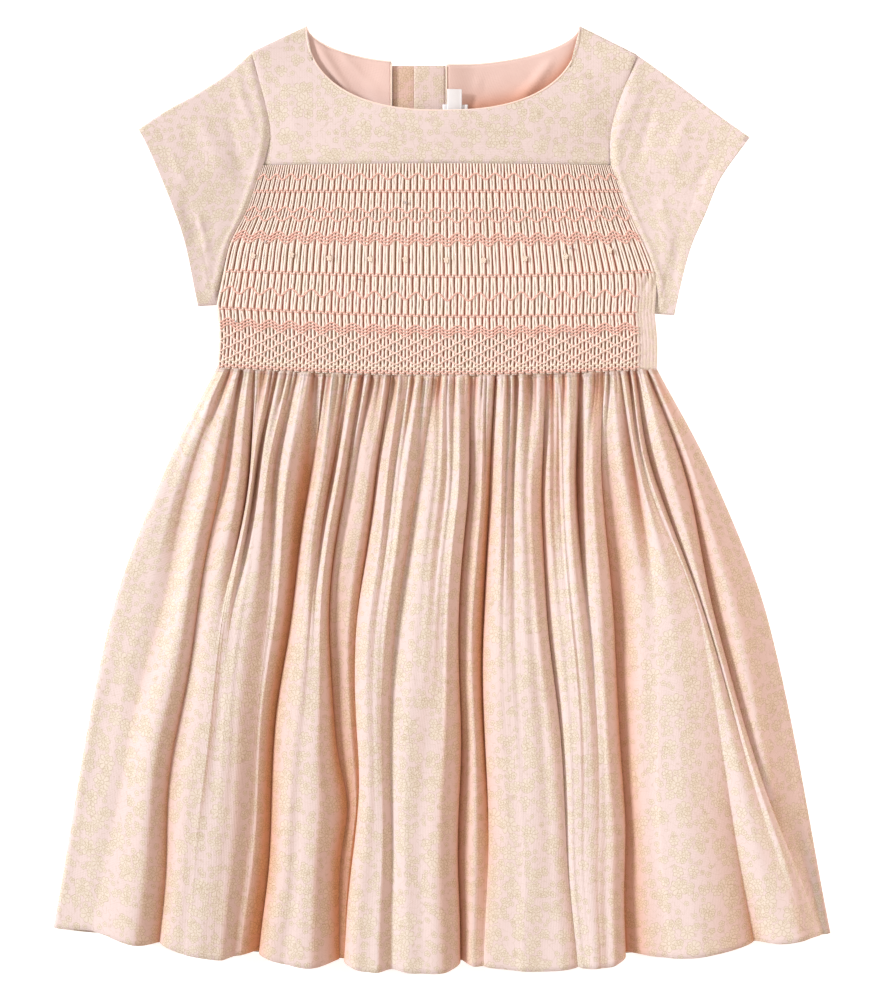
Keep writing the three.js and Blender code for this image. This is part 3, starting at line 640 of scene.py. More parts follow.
# Smocking: the rows of stitches that shut the gaps between its pleats. Each has its kind, its level below the
# yoke seam in the middle, its swing, how far it draws the pleats above and below it, which pairs it draws
# below, and its thread.
STITCH_ROWS = [
    ("wave", 7.6, 1.7, 3, 5, 0, "coral"),
    ("cable", 16.4, 0.65, 5, 6, 1, "coral"),
    ("wave", 27.8, 1.6, 5, 2.2, 0, "coral"),
    ("mirror", 33.6, 1.6, 2.2, 5, 1, "coral"),
    ("wave", 43.8, 1.7, 5, 1.4, 1, "coral"),
    ("wave", 45.9, 1.7, 1.2, 1.2, 1, "coral"),
    ("wave", 48.0, 1.7, 1.4, 10, 0, "coral"),
    ("cable", 67.2, 0.65, 10, 6, 1, "coral"),
    ("wave", 78.8, 2.1, 5, 5, 0, "coral"),
    ("cable", 90.0, 0.65, 5, 4, 1, "coral"),
    ("wave", 98.2, 1.7, 4, 1.2, 1, "coral"),
    ("wave", 100.2, 1.7, 1.2, 1.2, 1, "coral"),
    ("wave", 102.2, 1.7, 1.2, 1.6, 1, "coral"),
    *((("mirror", "wave")[i % 2], 105.9 + 3.7 * i, 1.7, 1.1, 1.1, 1, "pale") for i in range(5)),
    ("cable", 124.4, 0.65, 1.6, 1.6, 1, "cream"),
    ("cable", 127.6, 0.65, 1.6, 2.0, 1, "coral"),
]
USUAL_REACH = 1.3  # how far a row draws the other pairs
WAVE_PLEATS = 6
CABLE_TILT = 0.12
RIGHT_LIFT = 3.2  # how far the stitched rows rise at the right side
LEAN_REACH = 52.0  # how far from the armholes the pleats lean with them
CLOSE_FROM, UPPER_ROWS = 0.77, 0.66  # the mesh's rows are closer together in the lowest part
PLAIN_FROM_PLEAT = 119
PLAIN_FROM_LEVEL = 64.0
# Six columns a pleat: the way up to its ridge, the way down from it, and the height there
PLEAT_SECTION = ((0, 0, 0), (0.34, 0, 0.5), (0.66, 0, 0.9), (1, 0, 1), (1, 0.34, 0.9), (1, 0.66, 0.5))


def right_lift(share, level):
    return -RIGHT_LIFT * np.clip(2 * share - 1, 0, 1) ** 1.5 * np.sin(math.pi * level / SMOCKING_DEPTH)


def stitch_levels(kind, level, swing, gaps):
    """Each gap's stitch level on a row."""
    if kind == "cable":
        levels = level + np.where(gaps % 2 == 0, -swing, swing)
    else:
        sign = -1 if kind == "mirror" else 1
        levels = level + sign * swing * np.cos(2 * math.pi * gaps / WAVE_PLEATS)
    return levels + right_lift(gaps / PLEATS, level)


def plain_share(pleat, level):
    """1 in the strip at the right side that isn't drawn up into pleats."""
    return smooth((pleat - PLAIN_FROM_PLEAT) / 3) * smooth((level - PLAIN_FROM_LEVEL) / 7)


def stitched(levels):
    """How far each gap is closed at each level, and the rows of stitches."""
    gaps = np.arange(PLEATS + 1)
    closed = np.zeros((SMOCKING_ROWS, PLEATS + 1))
    stitches = []
    pairs_above = 1
    for kind, level, swing, up, down, pairs_below, colour in STITCH_ROWS:
        at = stitch_levels(kind, level, swing, gaps)
        away = levels - at
        above = np.where(gaps % 2 == pairs_above, up, USUAL_REACH)
        below = np.where(gaps % 2 == pairs_below, down, USUAL_REACH)
        pairs_above = pairs_below
        closed = np.maximum(closed, bell(away, np.where(away < 0, above, below)))
        stitches.append((at, kind, colour))
    return closed * mix(0.85, 1.0, random.random(PLEATS + 1)), stitches


def pleat_columns(closed, levels):
    """Place in pleats, height and painted gap shade across the smocking at each level."""
    pull = closed[:, 1:] - closed[:, :-1]
    pull[:, [0, 1, -2, -1]] *= 0.3
    wander = np.cumsum(random.normal(0, 0.05, (SMOCKING_ROWS, PLEATS)), axis=0)
    wander -= even(SMOCKING_ROWS)[:, None] * wander[-1:]
    middle = np.arange(PLEATS) + 0.5
    ridge = middle + (0.27 * pull + 0.25 * np.clip(wander, -0.5, 0.5)) * (1 - plain_share(middle, levels))
    one = np.ones((SMOCKING_ROWS, 1))
    trough = np.concatenate([0 * one, (ridge[:, 1:] + ridge[:, :-1]) / 2, PLEATS * one], 1)
    apart = np.concatenate([one, np.diff(ridge, axis=1), one], 1)
    depth = np.clip(1.0 - 0.75 * (1.05 - apart) / 0.6, 0.3, 1.0)
    depth *= 1 - 0.6 * closed**1.5
    depth[:, [0, -1]] = 0.5
    places, relief, painted_shade = [], [], []
    for rise, fall, height in PLEAT_SECTION:
        here = slice(1, None) if fall else slice(None, -1)
        places.append(mix(mix(trough[:, :-1], ridge, rise), trough[:, 1:], fall))
        relief.append(1 - depth[:, here] * (1 - height))
        # Painted shade in each gap: darkest low in the troughs between pleats that stand apart, and less
        # where a stitch draws them shut.
        openness = np.clip((apart[:, here] - 0.35) / 0.9, 0.08, 1)
        painted_shade.append((1 - height) ** 1.3 * openness * (1 - closed[:, here] ** 1.5))
    lasts = (PLEATS * one, 1 - depth[:, -1:], 0 * one)
    return (
        np.concatenate([np.stack(parts, -1).reshape(SMOCKING_ROWS, -1), last], 1)
        for parts, last in zip((places, relief, painted_shade), lasts)
    )


def lean_share(way):
    """From 1 at one armhole to 0 at the other."""
    rest = math.exp(-WAIST_WIDTH / LEAN_REACH)
    return (np.exp(-way / LEAN_REACH) - rest) / (1 - rest)


def smocked_front():
    upper_rows = int(UPPER_ROWS * SMOCKING_ROWS)
    upper = np.linspace(0, CLOSE_FROM, upper_rows, endpoint=False)
    v = np.r_[upper, np.linspace(CLOSE_FROM, 1, SMOCKING_ROWS - upper_rows)]
    levels = v[:, None] * SMOCKING_DEPTH
    closed, stitches = stitched(levels)
    column, relief, gap_shade = pleat_columns(closed, levels)
    tame = plain_share(column, levels)
    relief = mix(relief, 0.5, 0.85 * tame)
    gap_shade *= 1 - 0.9 * tame
    seam, waist = line(CORNER["left"], CORNER["right"]), waist_curve(WAIST_LEFT[0], WAIST_RIGHT[0])
    fine = even(8 * PLEATS + 1)
    across = patch(seam, waist, ARMHOLE_AND_SIDE["left"], ARMHOLE_AND_SIDE["right"], fine, v)
    # The pleats run straight down, and only near the armholes do they lean with the edge.
    upright = mix(WAIST_LEFT[0], WAIST_RIGHT[0], fine)
    from_left = (across[:, :1, 0] - upright[0]) * lean_share(upright - upright[0])
    from_right = (across[:, -1:, 0] - upright[-1]) * lean_share(upright[-1] - upright)
    across[..., 0] = upright + from_left + from_right
    xy = [[np.interp(c, fine * PLEATS, a[:, k]) for c, a in zip(column, across)] for k in (0, 1)]
    xy = np.stack(xy, -1)
    pucker = tame * 0.8 * np.sin(column * 2.4 + levels / 3) * bell(levels - PLAIN_FROM_LEVEL, 9)
    ends = 1 - 0.3 * bell(levels, 3)
    z = front_inside(xy[..., 0], xy[..., 1]) + 0.5 + RIDGE_HEIGHT * relief * ends + pucker
    z -= 0.9 * bell(levels - SMOCKING_DEPTH, 0.9)
    grid = np.concatenate([xy, z[..., None]], -1)
    uv = np.stack([(column - PLEATS / 2) * PLEAT_CLOTH, np.broadcast_to(-levels, column.shape)], -1)
    values = {
        # Painted shade in the troughs between the pleats
        "gap": np.clip(gap_shade * 1.15, 0, 1),
        # Painted highlight on the tops of the pleats
        "ridge": np.clip(relief * 1.4 - 0.4, 0, 1) * (1 - 0.5 * tame),
        "shade": 0.08 * tame,
    }
    obj = cloth("front_smocking", grid, PRINT, uv=uv, values=values, shell=0)
    ridges = grid[:, 3::6]
    made = smocking_threads(ridges, levels[:, 0], stitches) + smocking_trim(ridges)


def on_ridge(ridges, levels, pleat, level):
    """Points on the tops of pleats at levels below the yoke seam."""
    rows, pleats = ridges.shape[:2]
    r = np.interp(level, levels, np.arange(rows))
    i = np.minimum(r.astype(int), rows - 2)
    c = np.clip(pleat, 0, pleats - 1)
    j = np.minimum(c.astype(int), pleats - 2)
    a, b = (mix(ridges[i, k], ridges[i + 1, k], (r - i)[..., None]) for k in (j, j + 1))
    return mix(a, b, (c - j)[..., None])


def smocking_threads(ridges, levels, stitches):
    paths = {colour: [] for colour in THREADS}
    gaps = np.arange(1, PLEATS)
    steps = np.array([-0.74, -0.45, 0.0, 0.45, 0.74])
    for at, kind, colour in stitches:
        inner = at[1:-1]
        slope = np.full(len(inner), CABLE_TILT) if kind == "cable" else np.gradient(at)[1:-1] * 0.5
        kept = plain_share(gaps, inner) < 0.5
        gap, level, tilt = (values[kept][:, None] for values in (gaps, inner, slope))
        point = on_ridge(ridges, levels, gap - 0.5 + steps, level + tilt * steps * 1.6)
        point[..., 2] += np.array([-0.35, 0.2, 0.14, 0.2, -0.35])
        paths[colour].append(point)
    return [
        strands(f"smocking_stitches_{colour}", np.concatenate(lines), 0.4, THREADS[colour], 5)
        for colour, lines in paths.items()
    ]


ROSETTES = np.array([-116, -91.4, -69.4, -45, -22, 1.8, 25.5, 51.7, 76.6, 103.3])
ROSETTE_LEVELS = np.array([148.9, 148.9, 147.3, 146.7, 146.4, 145.5, 145.5, 147.3, 148.6, 151.6])
BEADS = [
    (-109, 156.5), (-51.4, 133.8), (-126.8, 108.7), (-22, 180.4), (79, 152.8), (77.2, 100.8), (88.8, 178.5),
]
BEAD_SIDES = 12
BEAD_PROFILE = [(0.3, -0.62), (0.75, -0.5), (1.0, 0.0), (0.75, 0.5), (0.3, 0.62)]  # radius and place along it


def on_front(ridges, x, y):
    """The ridge point nearest to a place on the smocked front."""
    far = (ridges[..., 0] - x) ** 2 + (ridges[..., 1] - y) ** 2
    return ridges.reshape(-1, 3)[far.argmin()].copy()


def smocking_trim(ridges):
    """Small knots of cream thread and clear beads."""
    loops = []
    turn = np.linspace(0, 2 * math.pi, 9)
    for x, y in zip(ROSETTES, ROSETTE_LEVELS):
        centre = on_front(ridges, x, y)
        for k in range(5):
            angle = 2 * math.pi * k / 5 + 0.3
            way = np.array([math.cos(angle), 1.25 * math.sin(angle)])
            across = np.array([-way[1], way[0]])
            loop = np.outer(1.0 - np.cos(turn), way) * 0.75 + np.outer(np.sin(turn), across) * 0.42
            loops.append(np.c_[centre[:2] + loop, centre[2] + 0.45 + 0.25 * np.sin(turn / 2)])
    knots = strands("smocking_rosettes", loops, 0.34, CREAM)
    faces, vertices = [], []
    angles = np.linspace(0, 2 * math.pi, BEAD_SIDES, endpoint=False)
    ring = np.array([[r * math.cos(a), h, r * math.sin(a)] for r, h in BEAD_PROFILE for a in angles])
    # The last ring is joined to the first through the bead's hole.
    wound = np.array(grid_faces(len(BEAD_PROFILE) + 1, BEAD_SIDES, closed=True)) % len(ring)
    for n, (x, y) in enumerate(BEADS):
        vertices.append(on_front(ridges, x, y) + [0, 0, 0.75] + ring)
        faces += (wound + len(ring) * n).tolist()
    beads = piece("smocking_beads", np.concatenate(vertices), faces, bead_glass())
    return [knots, beads]


# Front skirt
def station_shares(v):
    """How much each of the four stations counts at each v down the skirt."""
    v = np.asarray(v, float)
    i = np.clip(np.searchsorted(STATIONS, v, side="right") - 1, 0, 2)
    span = STATIONS[i + 1] - STATIONS[i]
    t = (v - STATIONS[i]) / span
    value = np.eye(4)
    before, after = [0, 0, 1, 2], [1, 2, 3, 3]
    slope = (value[after] - value[before]) / (STATIONS[after] - STATIONS[before])[:, None]
    parts = (
        (2 * t**3 - 3 * t**2 + 1, value[i]),
        ((t**3 - 2 * t**2 + t) * span, slope[i]),
        (3 * t**2 - 2 * t**3, value[i + 1]),
        ((t**3 - t**2) * span, slope[i + 1]),
    )
    return sum(share[:, None] * rows for share, rows in parts)


def crest_height(x, v, shares, left, right):
    at_waist = front_inside(x * WAIST_RIGHT[0] / right, np.full_like(x, WAIST_RIGHT[1])) + CLOTH
    free = shares[:, :1] * at_waist + shares[:, 1:] @ CREST_LEVELS[1:, None]
    settled = smooth(3 * v)
    from_left = (x - left) / mix(WAIST_SLOPE, LEFT_SLOPE, settled)
    from_right = (right - x) / mix(WAIST_SLOPE, RIGHT_SLOPE, settled)
    return mix(SKIRT_LEVEL, free, smooth(SIDE_START + np.minimum(from_left, from_right)))


def bank_rise(t, steepness):
    """Share of the rise from a valley to its crest at t of the way."""
    gentle = mix(t, smooth(t), 0.1)
    abrupt = mix(1 - (1 - t) ** BANK_POWER, t, 0.35)
    return mix(gentle, abrupt, steepness)


def hem_level(x, z):
    t = x / RIGHT_SIDE[3]
    arc = mix(np.where(t < 0, HEM_LEFT, HEM_RIGHT), HEM_MIDDLE, 1 - np.abs(t) ** HEM_POWER)
    return arc + HEM_PULL * np.maximum(0, CREST_LEVELS[3] - z) * smooth(6 * (1 - np.abs(t)))


# Where a valley bends aside: its number, where down the skirt, over what length and how far
BULGES = [
    (7, 0.74, 0.07, 5.0),
    (8, 0.70, 0.10, 2.0),
    (5, 0.55, 0.12, -1.8),
    (12, 0.62, 0.12, 2.0),
    (15, 0.45, 0.12, -2.2),
    (18, 0.78, 0.10, 2.0),
    (1, 0.7, 0.14, -2.0),
]
# Width in pleats, height and reach of the gathers
GATHERS = [(1.0, 0.5, 0.035), (2.0, 0.9, 0.08), (3.7, 1.4, 0.22), (6.1, 1.5, 0.42)]
# Creases that run with the folds: the pleat, where they start and end, their width in pleats and their height
FLOW_CREASES = [
    (9, 0.02, 0.55, 2.0, -1.3),
    (14, 0.05, 0.4, 1.4, 1.0),
    (24, 0.02, 0.5, 1.6, -1.4),
    (31, 0.0, 0.34, 1.2, 1.1),
    (37, 0.1, 0.8, 1.6, 1.0),
    (45, 0.3, 1.1, 1.5, -0.9),
    (52, 0.02, 0.45, 1.4, -1.2),
    (60, 0.05, 0.6, 1.8, 1.1),
    (68, 0.5, 1.1, 2.2, 1.2),
    (71, 0.02, 0.42, 1.3, -1.2),
    (77, 0.35, 1.0, 1.7, -1.1),
    (85, 0.02, 0.4, 1.3, 1.1),
    (92, 0.3, 1.1, 1.5, 1.2),
    (97, 0.0, 0.45, 1.5, -1.3),
    (105, 0.35, 1.1, 1.7, -1.0),
    (110, 0.02, 0.5, 1.2, 0.9),
    (116, 0.3, 1.05, 1.6, 1.1),
    (121, 0.1, 0.7, 1.3, -0.9),
]


def gathers(pleat, v):
    """Short uneven folds that run out of the smocking's pleats and die away down the skirt."""
    total = np.zeros(np.broadcast_shapes(pleat.shape, v.shape))
    knots = np.arange(-2, PLEATS + 3)
    for width, height, reach in GATHERS:
        uneven = mix(0.35, 1.25, random.random(len(knots)))
        longer = mix(0.45, 1.6, random.random(len(knots)))
        slip = np.cumsum(random.normal(0, 0.16, len(knots))) * (width > 1)
        wave = -np.cos(2 * math.pi * (pleat / width + np.interp(pleat, knots, slip)))
        fade = bell(v, reach * np.interp(pleat, knots, longer))
        total += height * wave * np.interp(pleat, knots, uneven) * fade
    ripple = np.sin(pleat / 1.9 + 2.2 * np.sin(pleat / 6.3)) * np.sin(7 * v + pleat / 2.7)
    total += 0.55 * ripple * smooth(2.5 * v)
    for place, start, end, width, height in FLOW_CREASES:
        swell = smooth((v - start) / 0.12) * smooth((end - v) / 0.2)
        total += height * bell(pleat - place - 1.2 * np.sin(4 * v + place), width) * swell
    return total * smooth(v / 0.012 + 0.25)


def skirt_columns(v):
    """x, height and depth below the crests, across the skirt at each v."""
    shares = station_shares(v)
    down_rows = v[:, None]
    left, right = shares @ LEFT_SIDE[:, None], shares @ RIGHT_SIDE[:, None]
    valley = shares @ np.stack([FOLDS[k] for k in ("waist", "upper", "middle", "hem")])
    for i, at, length, sideways in BULGES:
        valley[:, i] += sideways * bell(v - at, length)
    wobble = random.uniform(0, 6, valley.shape[1])
    valley += 0.9 * smooth(4 * down_rows) * np.sin(5.5 * down_rows + wobble)
    still = np.full(valley.shape[1], WAIST_RELIEF)
    deep = shares @ np.stack([still, FOLDS["deep_upper"], FOLDS["deep_middle"], FOLDS["deep_hem"]])
    low_upper, low_hem = FOLDS["low_upper"], FOLDS["low_hem"]
    low = shares @ np.stack([0 * low_upper, low_upper, (low_upper + low_hem) / 2, low_hem])
    after = np.concatenate([valley[:, 1:], right], 1)
    crest_x = np.concatenate([mix(left, valley[:, :1], SIDE_CREST), mix(valley, after, FOLDS["crest"])], 1)
    crest_down = np.concatenate([SIDE_SUNK * down_rows, low], 1)
    side = np.linspace(0, 1, SIDE_COLUMNS, endpoint=False)
    xs, downs = [mix(left, crest_x[:, :1], side)], [SIDE_SUNK * down_rows * side]
    leans = [np.zeros_like(xs[0])]
    away = np.linspace(0, 1, BANK_COLUMNS, endpoint=False)
    for i in range(valley.shape[1]):
        for steep, crest, t in (
            (FOLDS["left_bank"][i], i, (1 - away)),
            (FOLDS["right_bank"][i], i + 1, away),
        ):
            s = t ** (1 + 0.7 * steep)
            varied = 1 + 0.5 * np.sin(9 * down_rows + 2.1 * i + crest)
            rise = bank_rise(s, np.clip(steep * varied, 0, 1))
            top_x, top_down = crest_x[:, crest : crest + 1], crest_down[:, crest : crest + 1]
            floor_x, floor_down = valley[:, i : i + 1], deep[:, i : i + 1]
            xs.append(mix(floor_x, top_x, s))
            downs.append(mix(floor_down, top_down, rise))
            over = smooth((steep - 0.45) / 0.5) * np.clip((floor_down - top_down) / 10, 0, 1.2)
            hang = (s / 0.2) * np.exp(1 - s / 0.2) * (1 - s)
            leans.append(-np.sign(top_x - floor_x) * LEAN * over * hang)
    xs.append(mix(crest_x[:, -1:], right, even(SIDE_COLUMNS)))
    downs.append(crest_down[:, -1:] * (1 - even(SIDE_COLUMNS)))
    leans.append(np.zeros_like(xs[-1]))
    x, down, lean = (np.concatenate(parts, 1) for parts in (xs, downs, leans))
    height = np.maximum(SKIRT_LEVEL, crest_height(x, down_rows, shares, left, right) - down)
    edge = np.minimum(x - left, right - x)
    return x, height, down, lean, edge


def soften(rows, times):
    """Evens out values across the skirt."""
    rows = rows.copy()
    for _ in range(times):
        rows[:, 1:-1] = 0.5 * rows[:, 1:-1] + 0.25 * (rows[:, :-2] + rows[:, 2:])
    return rows


def drift(x, v):
    """How the folds wander sideways together, but not at the waist and little at the hem."""
    wide = 2.0 * np.sin(x / 27 + 6.3 * v + 1.4 * np.sin(x / 47))
    narrow = 1.0 * np.sin(x / 12 - 12 * v + 2)
    return (wide + narrow) * smooth(4 * v) * (1 - 0.7 * smooth((v - 0.8) / 0.2))


def front_skirt():
    v = even(SKIRT_ROWS) ** 1.25
    x, height, down, lean, edge = skirt_columns(v)
    v = v[:, None]
    pleat = PLEATS * (x[:1] - WAIST_LEFT[0]) / WAIST_WIDTH
    calm = smooth(edge / 8)
    folds = gathers(pleat, v) * calm
    start = waist_level(mix(WAIST_LEFT[0], WAIST_RIGHT[0], pleat / PLEATS)) + 0.9
    y = mix(start, hem_level(x[-1:], soften(height[-1:], 40)), v)
    top = 0.8 * bell(v, 0.035) - 0.9 * bell(v, 0.006)
    z = soften(height, 6) + folds + top + waves(x, y, 0.4, 20) * calm * smooth(6 * v)
    z = mix(1.0, np.maximum(1.5, z) + CLOTH / 2, rounded(edge + 0.3, 3.0))
    grid = np.stack([x + soften(lean, 6) + drift(x, v) * smooth(edge / 25), y, z], -1)
    waist = bell(v, 0.1)
    hollow = smooth(0.4 - folds / 1.8)
    fall = -np.gradient(z, axis=1) / np.maximum(np.gradient(grid[..., 0], axis=1), 0.15)
    away = smooth((soften(fall, 6) + 0.08) / 0.42)
    sunk = smooth((down - 2.5 - 0.5 * folds) / 9)
    # Painted warm shade: it stands in for light that the cloth throws back and forth in the valleys and
    # beside them, for shade on slopes that face away from the key light, and for the hollows near the waist.
    shade = 0.66 * sunk + 0.34 * soften(sunk, 300) + 0.32 * away + 0.32 * waist * hollow
    # Painted shade in the troughs of the gathers just below the waist.
    gap = 0.5 * bell(v, 0.045) * smooth((-folds - 0.1) / 1.3)
    # The hem turns under.
    turned = [-1, -1, -2, -5]
    lowered = np.array([(0, 0.2, 0.4), (0, 0, 0.8), (0, 0, 0.8), (0, 0, 0.8)])
    grid = np.concatenate([grid, grid[turned] - lowered[:, None]])
    values = {"shade": np.clip(shade, 0, 1), "gap": gap}
    values = {name: np.concatenate([value, value[turned]]) for name, value in values.items()}
    obj = cloth("front_skirt", grid, PRINT, values=values, shell=0)


# Back of the dress
LINING_CREASES = [
    (-80, 284, -52, 240, 2.4, 1.5),
    (-74, 284, -40, 236, 2.2, -1.3),
    (-66, 276, -34, 244, 2.6, 1.3),
    (-60, 268, -44, 238, 2.8, -1.0),
    (70, 272, 44, 240, 3.5, 1.5),
    (60, 262, 30, 246, 3.2, -1.1),
    (24, 262, 20, 232, 3.0, 0.9),
    (16, 240, 34, 262, 4.0, -0.9),
]
BACK_CREASES = [
    (-100, 250, -62, 200, 5, 0.6),
    (-110, 180, -60, 130, 6, -0.5),
    (-50, 160, -44, 90, 4, 0.5),
    (60, 240, 96, 190, 6, 0.6),
    (40, 150, 90, 110, 6, -0.5),
    (110, 130, 70, 90, 5, 0.5),
]


def back_panel(where, level, node, material, table, thickness):
    inner = OUTER_STRIP[0] - SEAM if where == "left" else INNER_STRIP[1] + SEAM
    outer = WAIST_LEFT[0] if where == "left" else WAIST_RIGHT[0]
    neck = NECK_POINT[where]
    top = chained((neck_curve(BACK_NECK, inner, neck[0]), 0.7), (line(neck, SHOULDER[where]), 0.3))
    flat = patch(
        lambda t: top(t) - [0, SEAM],
        lambda t: waist_curve(inner, outer)(t) + [0, SEAM],
        line((inner, neck_level(inner, BACK_NECK) - SEAM), (inner, waist_level(inner) + SEAM)),
        WHOLE_SIDE[where],
        np.unique(np.r_[even(70), 0.7]),
        even(90),
    )
    if where == "left":
        flat = flat[:, ::-1]
    x, y = flat[..., 0], flat[..., 1]
    z = level(x, y) + thickness + np.maximum(-0.4, creases(x, y, table) + waves(x, y, 0.2, 15))
    grid = np.stack([x, y, np.maximum(z, thickness)], -1)
    # Painted shadow along the line of the front's neck edge, right of the middle, on the back and its lining.
    painted_shade = 0.7 * bell(y - neck_level(x, FRONT_NECK), 9) * smooth(x / 20)
    return cloth(node, grid, material, values={"shade": painted_shade})


def dress_back():
    for where, edge_x in (("left", OUTER_STRIP[0]), ("right", INNER_STRIP[1])):
        outer = back_panel(
            where, back_level, f"back_bodice_{where}", PRINT, BACK_CREASES, SHELL
        )
        inner = back_panel(
            where, lining_level, f"back_lining_{where}", PINK, LINING_CREASES, LINING
        )
        x = edge_x + (-0.5 if where == "left" else 0.5)
        seam = rim_along(
            f"strip_seam_{where}", line((x, neck_level(x, BACK_NECK) - 1), (x, 90)),
            lambda x, y: lining_level(x, y) + LINING + 0.15, 0.45, CREAM,
        )
        neck = rim_along(
            f"back_neck_edge_{where}", neck_curve(BACK_NECK, x, NECK_POINT[where][0]),
            lambda x, y: lining_level(x, y) + 0.4, 0.6, EDGE,
        )
    for name, (left, right), level in (
        ("placket_outer", OUTER_STRIP, outer_strip_level),
        ("placket_inner", INNER_STRIP, inner_strip_level),
    ):
        top = TOP - BACK_NECK[0] - SEAM
        flat = rectangle(left, right, top, STRIP_BOTTOM, 24, 110)
        grid = raised(flat, lambda x, y: level(x, y) + LINING)
        grid[..., 2] += waves(grid[..., 0], grid[..., 1], 0.12, 6) + edge_roll(grid, 0.25, 0.8)
        # Painted shade on the strips, more on the outer one, which lies under the inner one.
        painted_shade = np.full(grid.shape[:2], 0.4 if name == "placket_outer" else 0.1)
        strip = cloth(name, grid, PRINT, values={"shade": painted_shade})


def back_skirt():
    v = even(70)
    u = even(300)
    shares = station_shares(v)
    x = mix(shares @ LEFT_SIDE[:, None], shares @ RIGHT_SIDE[:, None], u)
    waist = waist_level(mix(WAIST_LEFT[0], WAIST_RIGHT[0], u)) - SEAM
    shorter = BACK_HEM_SHORTER * smooth(8 * np.minimum(u, 1 - u))
    hem_x = mix(LEFT_SIDE[3], RIGHT_SIDE[3], u)
    y = mix(waist, hem_level(hem_x, CREST_LEVELS[3]) + shorter, v[:, None])
    # The underside lies on the table, and shallow gathers lift off it a little.
    low = 0.32 * (1 - np.cos(2 * math.pi * (u * 31 + 0.8 * np.sin(9 * u))))
    low = low * (0.35 + 0.65 * bell(v[:, None], 0.35))
    low = low + 0.25 * (1 - np.cos(2 * math.pi * (u * 12 + 0.7 * np.sin(7 * u + v[:, None]))))
    grid = np.stack([x, y, SHELL + np.clip(low, 0, 1.0) * smooth(20 * np.minimum(u, 1 - u))], -1)
    obj = cloth("back_skirt", grid, PRINT)


# Sleeves
SLEEVE_CREASES = {
    "left": [
        (-128, 262, -112, 214, 3.0, 1.0),
        (-133, 240, -119, 186, 4.0, -1.1),
        (-150, 236, -132, 196, 5.0, 1.0),
        (-168, 214, -156, 190, 3.0, 0.9),
        (-160, 186, -148, 150, 3.5, -1.0),
        (-150, 176, -143, 148, 2.2, 1.1),
        (-158, 158, -136, 168, 3.5, -0.8),
        (-146, 146, -140, 124, 3.0, 0.8),
    ],
    "right": [
        (124, 262, 108, 216, 3.0, 1.0),
        (132, 248, 118, 200, 3.2, -1.0),
        (126, 262, 176, 228, 3.5, -0.9),
        (150, 236, 140, 196, 5.0, 0.8),
        (166, 212, 150, 180, 3.5, -0.7),
        (134, 190, 140, 142, 4.0, 0.8),
        (146, 160, 140, 124, 3.0, -0.9),
        (128, 150, 134, 122, 2.5, 0.8),
    ],
}
CUFF_HEM = 10.0
FOLD_LEVEL = 1.3  # middle of a sleeve's folded edges


def sleeve(where):
    armhole = chained((UPPER_ARMHOLE[where], 0.46), (LOWER_ARMHOLE[where], 0.54))
    away = -1 if where == "left" else 1
    u = 0.5 - 0.5 * np.cos(np.linspace(0, math.pi, 64))
    v = np.unique(np.r_[even(46), 0.01, 0.03, 0.99])
    flat = patch(armhole, CUFF[where], SLEEVE_TOP[where], line(UNDERARM[where], CUFF_END[where]), u, v)
    flat[..., 0] += away * SEAM
    x, y = flat[..., 0], flat[..., 1]
    across = np.linalg.norm(np.diff(flat, axis=1, prepend=flat[:, :1]), axis=2).cumsum(1)
    edge = np.minimum(across, across[:, -1:] - across)
    roof = 2 * CLOTH + SEAM + SLEEVE_GAP * np.sin(math.pi * u)
    from_cuff = np.linalg.norm(flat[-1:] - flat, axis=2)
    from_armhole = np.linalg.norm(flat[:1] - flat, axis=2)
    lifted = creases(x, y, SLEEVE_CREASES[where]) + waves(x, y, 0.25, 13)
    lifted += 0.8 * bell(from_armhole - 3.5, 2.6) - 0.5 * bell(from_armhole, 1.2)
    lifted -= 0.35 * bell(from_cuff - CUFF_HEM, 0.9)
    share = rounded(edge, 1.6)
    over = mix(FOLD_LEVEL, roof + lifted * smooth(edge / 8), share)
    below = mix(FOLD_LEVEL, SHELL * 0.2, share)
    upper, lower = (np.concatenate([flat, height[..., None]], -1) for height in (over, below))
    ring = np.concatenate([upper, lower[:, -2:0:-1]], 1)
    # The top layer runs a little way under the yoke.
    tucked = ring[:1].copy()
    tucked[:, : len(u), 0] -= 1.5 * away
    tucked[:, : len(u), 2] -= 1.2 * smooth(edge[:1] / 8)
    ring = np.concatenate([tucked, ring])
    # The cuff turns in, with the inside a little smaller all round.
    centre_z = 0.5 * (roof.max() + 0.1)
    inner = ring[[-1, -4, -8]].copy()
    inner[..., 2] = centre_z + (inner[..., 2] - centre_z) * 0.72
    ring = np.concatenate([ring, inner])
    if where == "left":
        ring = ring[:, ::-1]
    obj = cloth(f"sleeve_{where}", ring, PRINT, closed=True, shell=0)


# Labels and buttons
def labels():
    for name, (left, right, top, bottom), layer in (
        ("label_wide", WIDE_LABEL, 0),
        ("label_size", SIZE_LABEL, 1),
    ):
        flat = rectangle(left, right, top, bottom, 16, 24)
        under = INNER_STRIP[1] + SEAM

        def level(x, y):
            rest = np.maximum(lining_level(np.maximum(x, under), y), inner_strip_level(x, y)) + LINING
            curl = 0.5 * smooth((x - left) / (right - left) - 0.4) * (1 - layer)
            return rest + SEAM + layer * (LINING + SEAM) + 0.8 + curl + 0.25 * np.sin(y / 4)

        cloth(name, raised(flat, level), SATIN, shell=0.35)


def buttons():
    shell = button_shell()
    for i in range(1, 5):
        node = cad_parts[f"button_{i}"]
        node.data.materials.clear()
        node.data.materials.append(shell)
        node.data.shade_smooth()


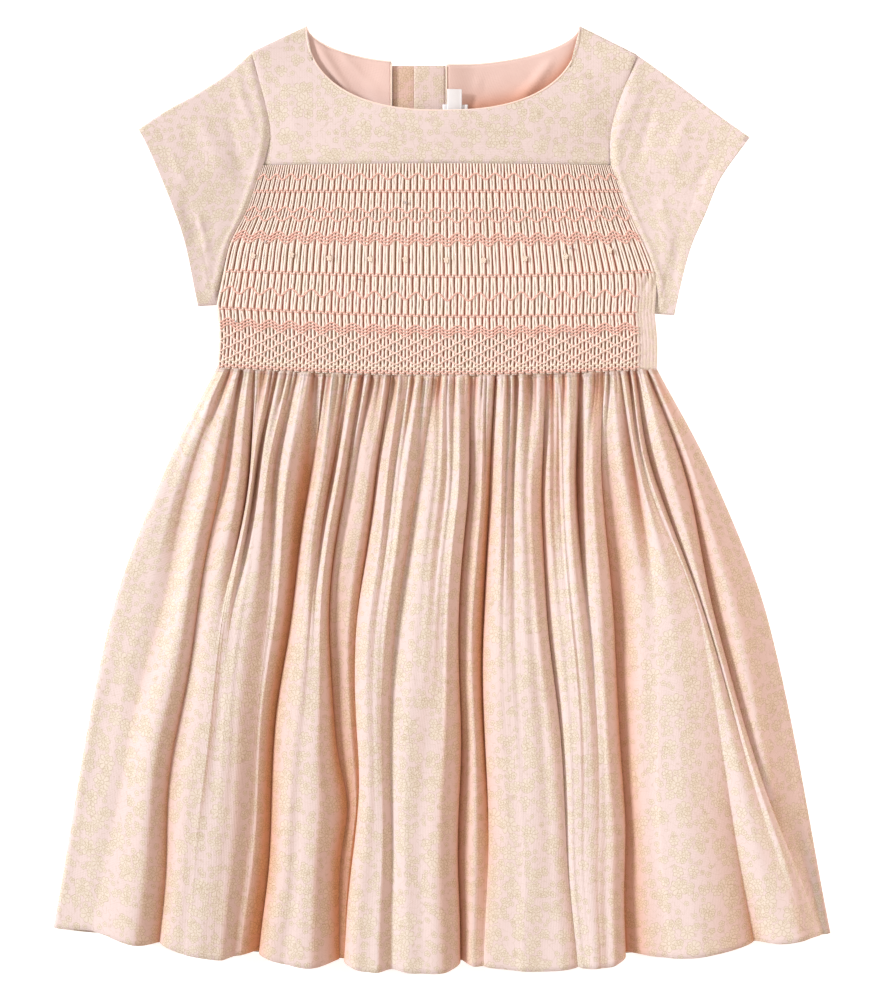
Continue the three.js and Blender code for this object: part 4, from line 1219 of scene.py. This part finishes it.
# Floor, light and camera
FLOOR_HALF, FLOOR_LEVEL = 4000, -0.05


def stage():
    mesh = bpy.data.meshes.new("floor")
    corners = np.array([(-1, -1, 0), (1, -1, 0), (1, 1, 0), (-1, 1, 0)]) * FLOOR_HALF + [0, 0, FLOOR_LEVEL]
    mesh.from_pydata((corners * MM).tolist(), [], [[0, 1, 2, 3]])
    mesh.materials.append(floor_paper())
    floor = placed("floor", mesh)


def lamp(name, kind, place, target, energy, colour, **settings):
    data = bpy.data.lights.new(name, kind)
    data.energy = energy
    data.color = colour
    for key, value in settings.items():
        setattr(data, key, value)
    obj = placed(name, data)
    obj.location = place
    way = Vector(target) - Vector(place)
    obj.rotation_euler = way.to_track_quat("-Z", "Y").to_euler()


def lights():
    lamp("key", "SUN", (-1.0, 0.35, 0.54), (0, 0, 0), 3.4, (0.965, 1.0, 1.03), angle=0.2)
    lamp("side_fill", "AREA", (0.75, 0.1, 0.45), (0.2, 0, 0), 3.0, (1.0, 0.97, 0.95), size=0.7)
    world = bpy.data.worlds.new("room")
    world.use_nodes = True
    background = world.node_tree.nodes["Background"]
    background.inputs["Color"].default_value = (1.0, 0.855, 0.76, 1.0)
    background.inputs["Strength"].default_value = 0.66
    bpy.context.scene.world = world


LENS = 100.0
SENSOR = 36.0
VIEW_HEIGHT = 612.5  # millimetres of the table from the top to the bottom of the picture
VIEW_CENTRE = (0.3, -0.9)
CLOTH_HEIGHT = 8  # height of the cloth that the view is measured at


def camera():
    data = bpy.data.cameras.new("camera")
    data.lens = LENS
    data.sensor_width = SENSOR
    obj = placed("camera", data)
    distance = VIEW_HEIGHT * LENS / SENSOR + CLOTH_HEIGHT
    obj.location = (VIEW_CENTRE[0] * MM, VIEW_CENTRE[1] * MM, distance * MM)
    bpy.context.scene.camera = obj
    bpy.context.scene.view_settings.view_transform = "Standard"


stage()
lights()
camera()
dress_back()
back_skirt()
labels()
buttons()
front_yoke()
smocked_front()
front_skirt()
sleeve("left")
sleeve("right")
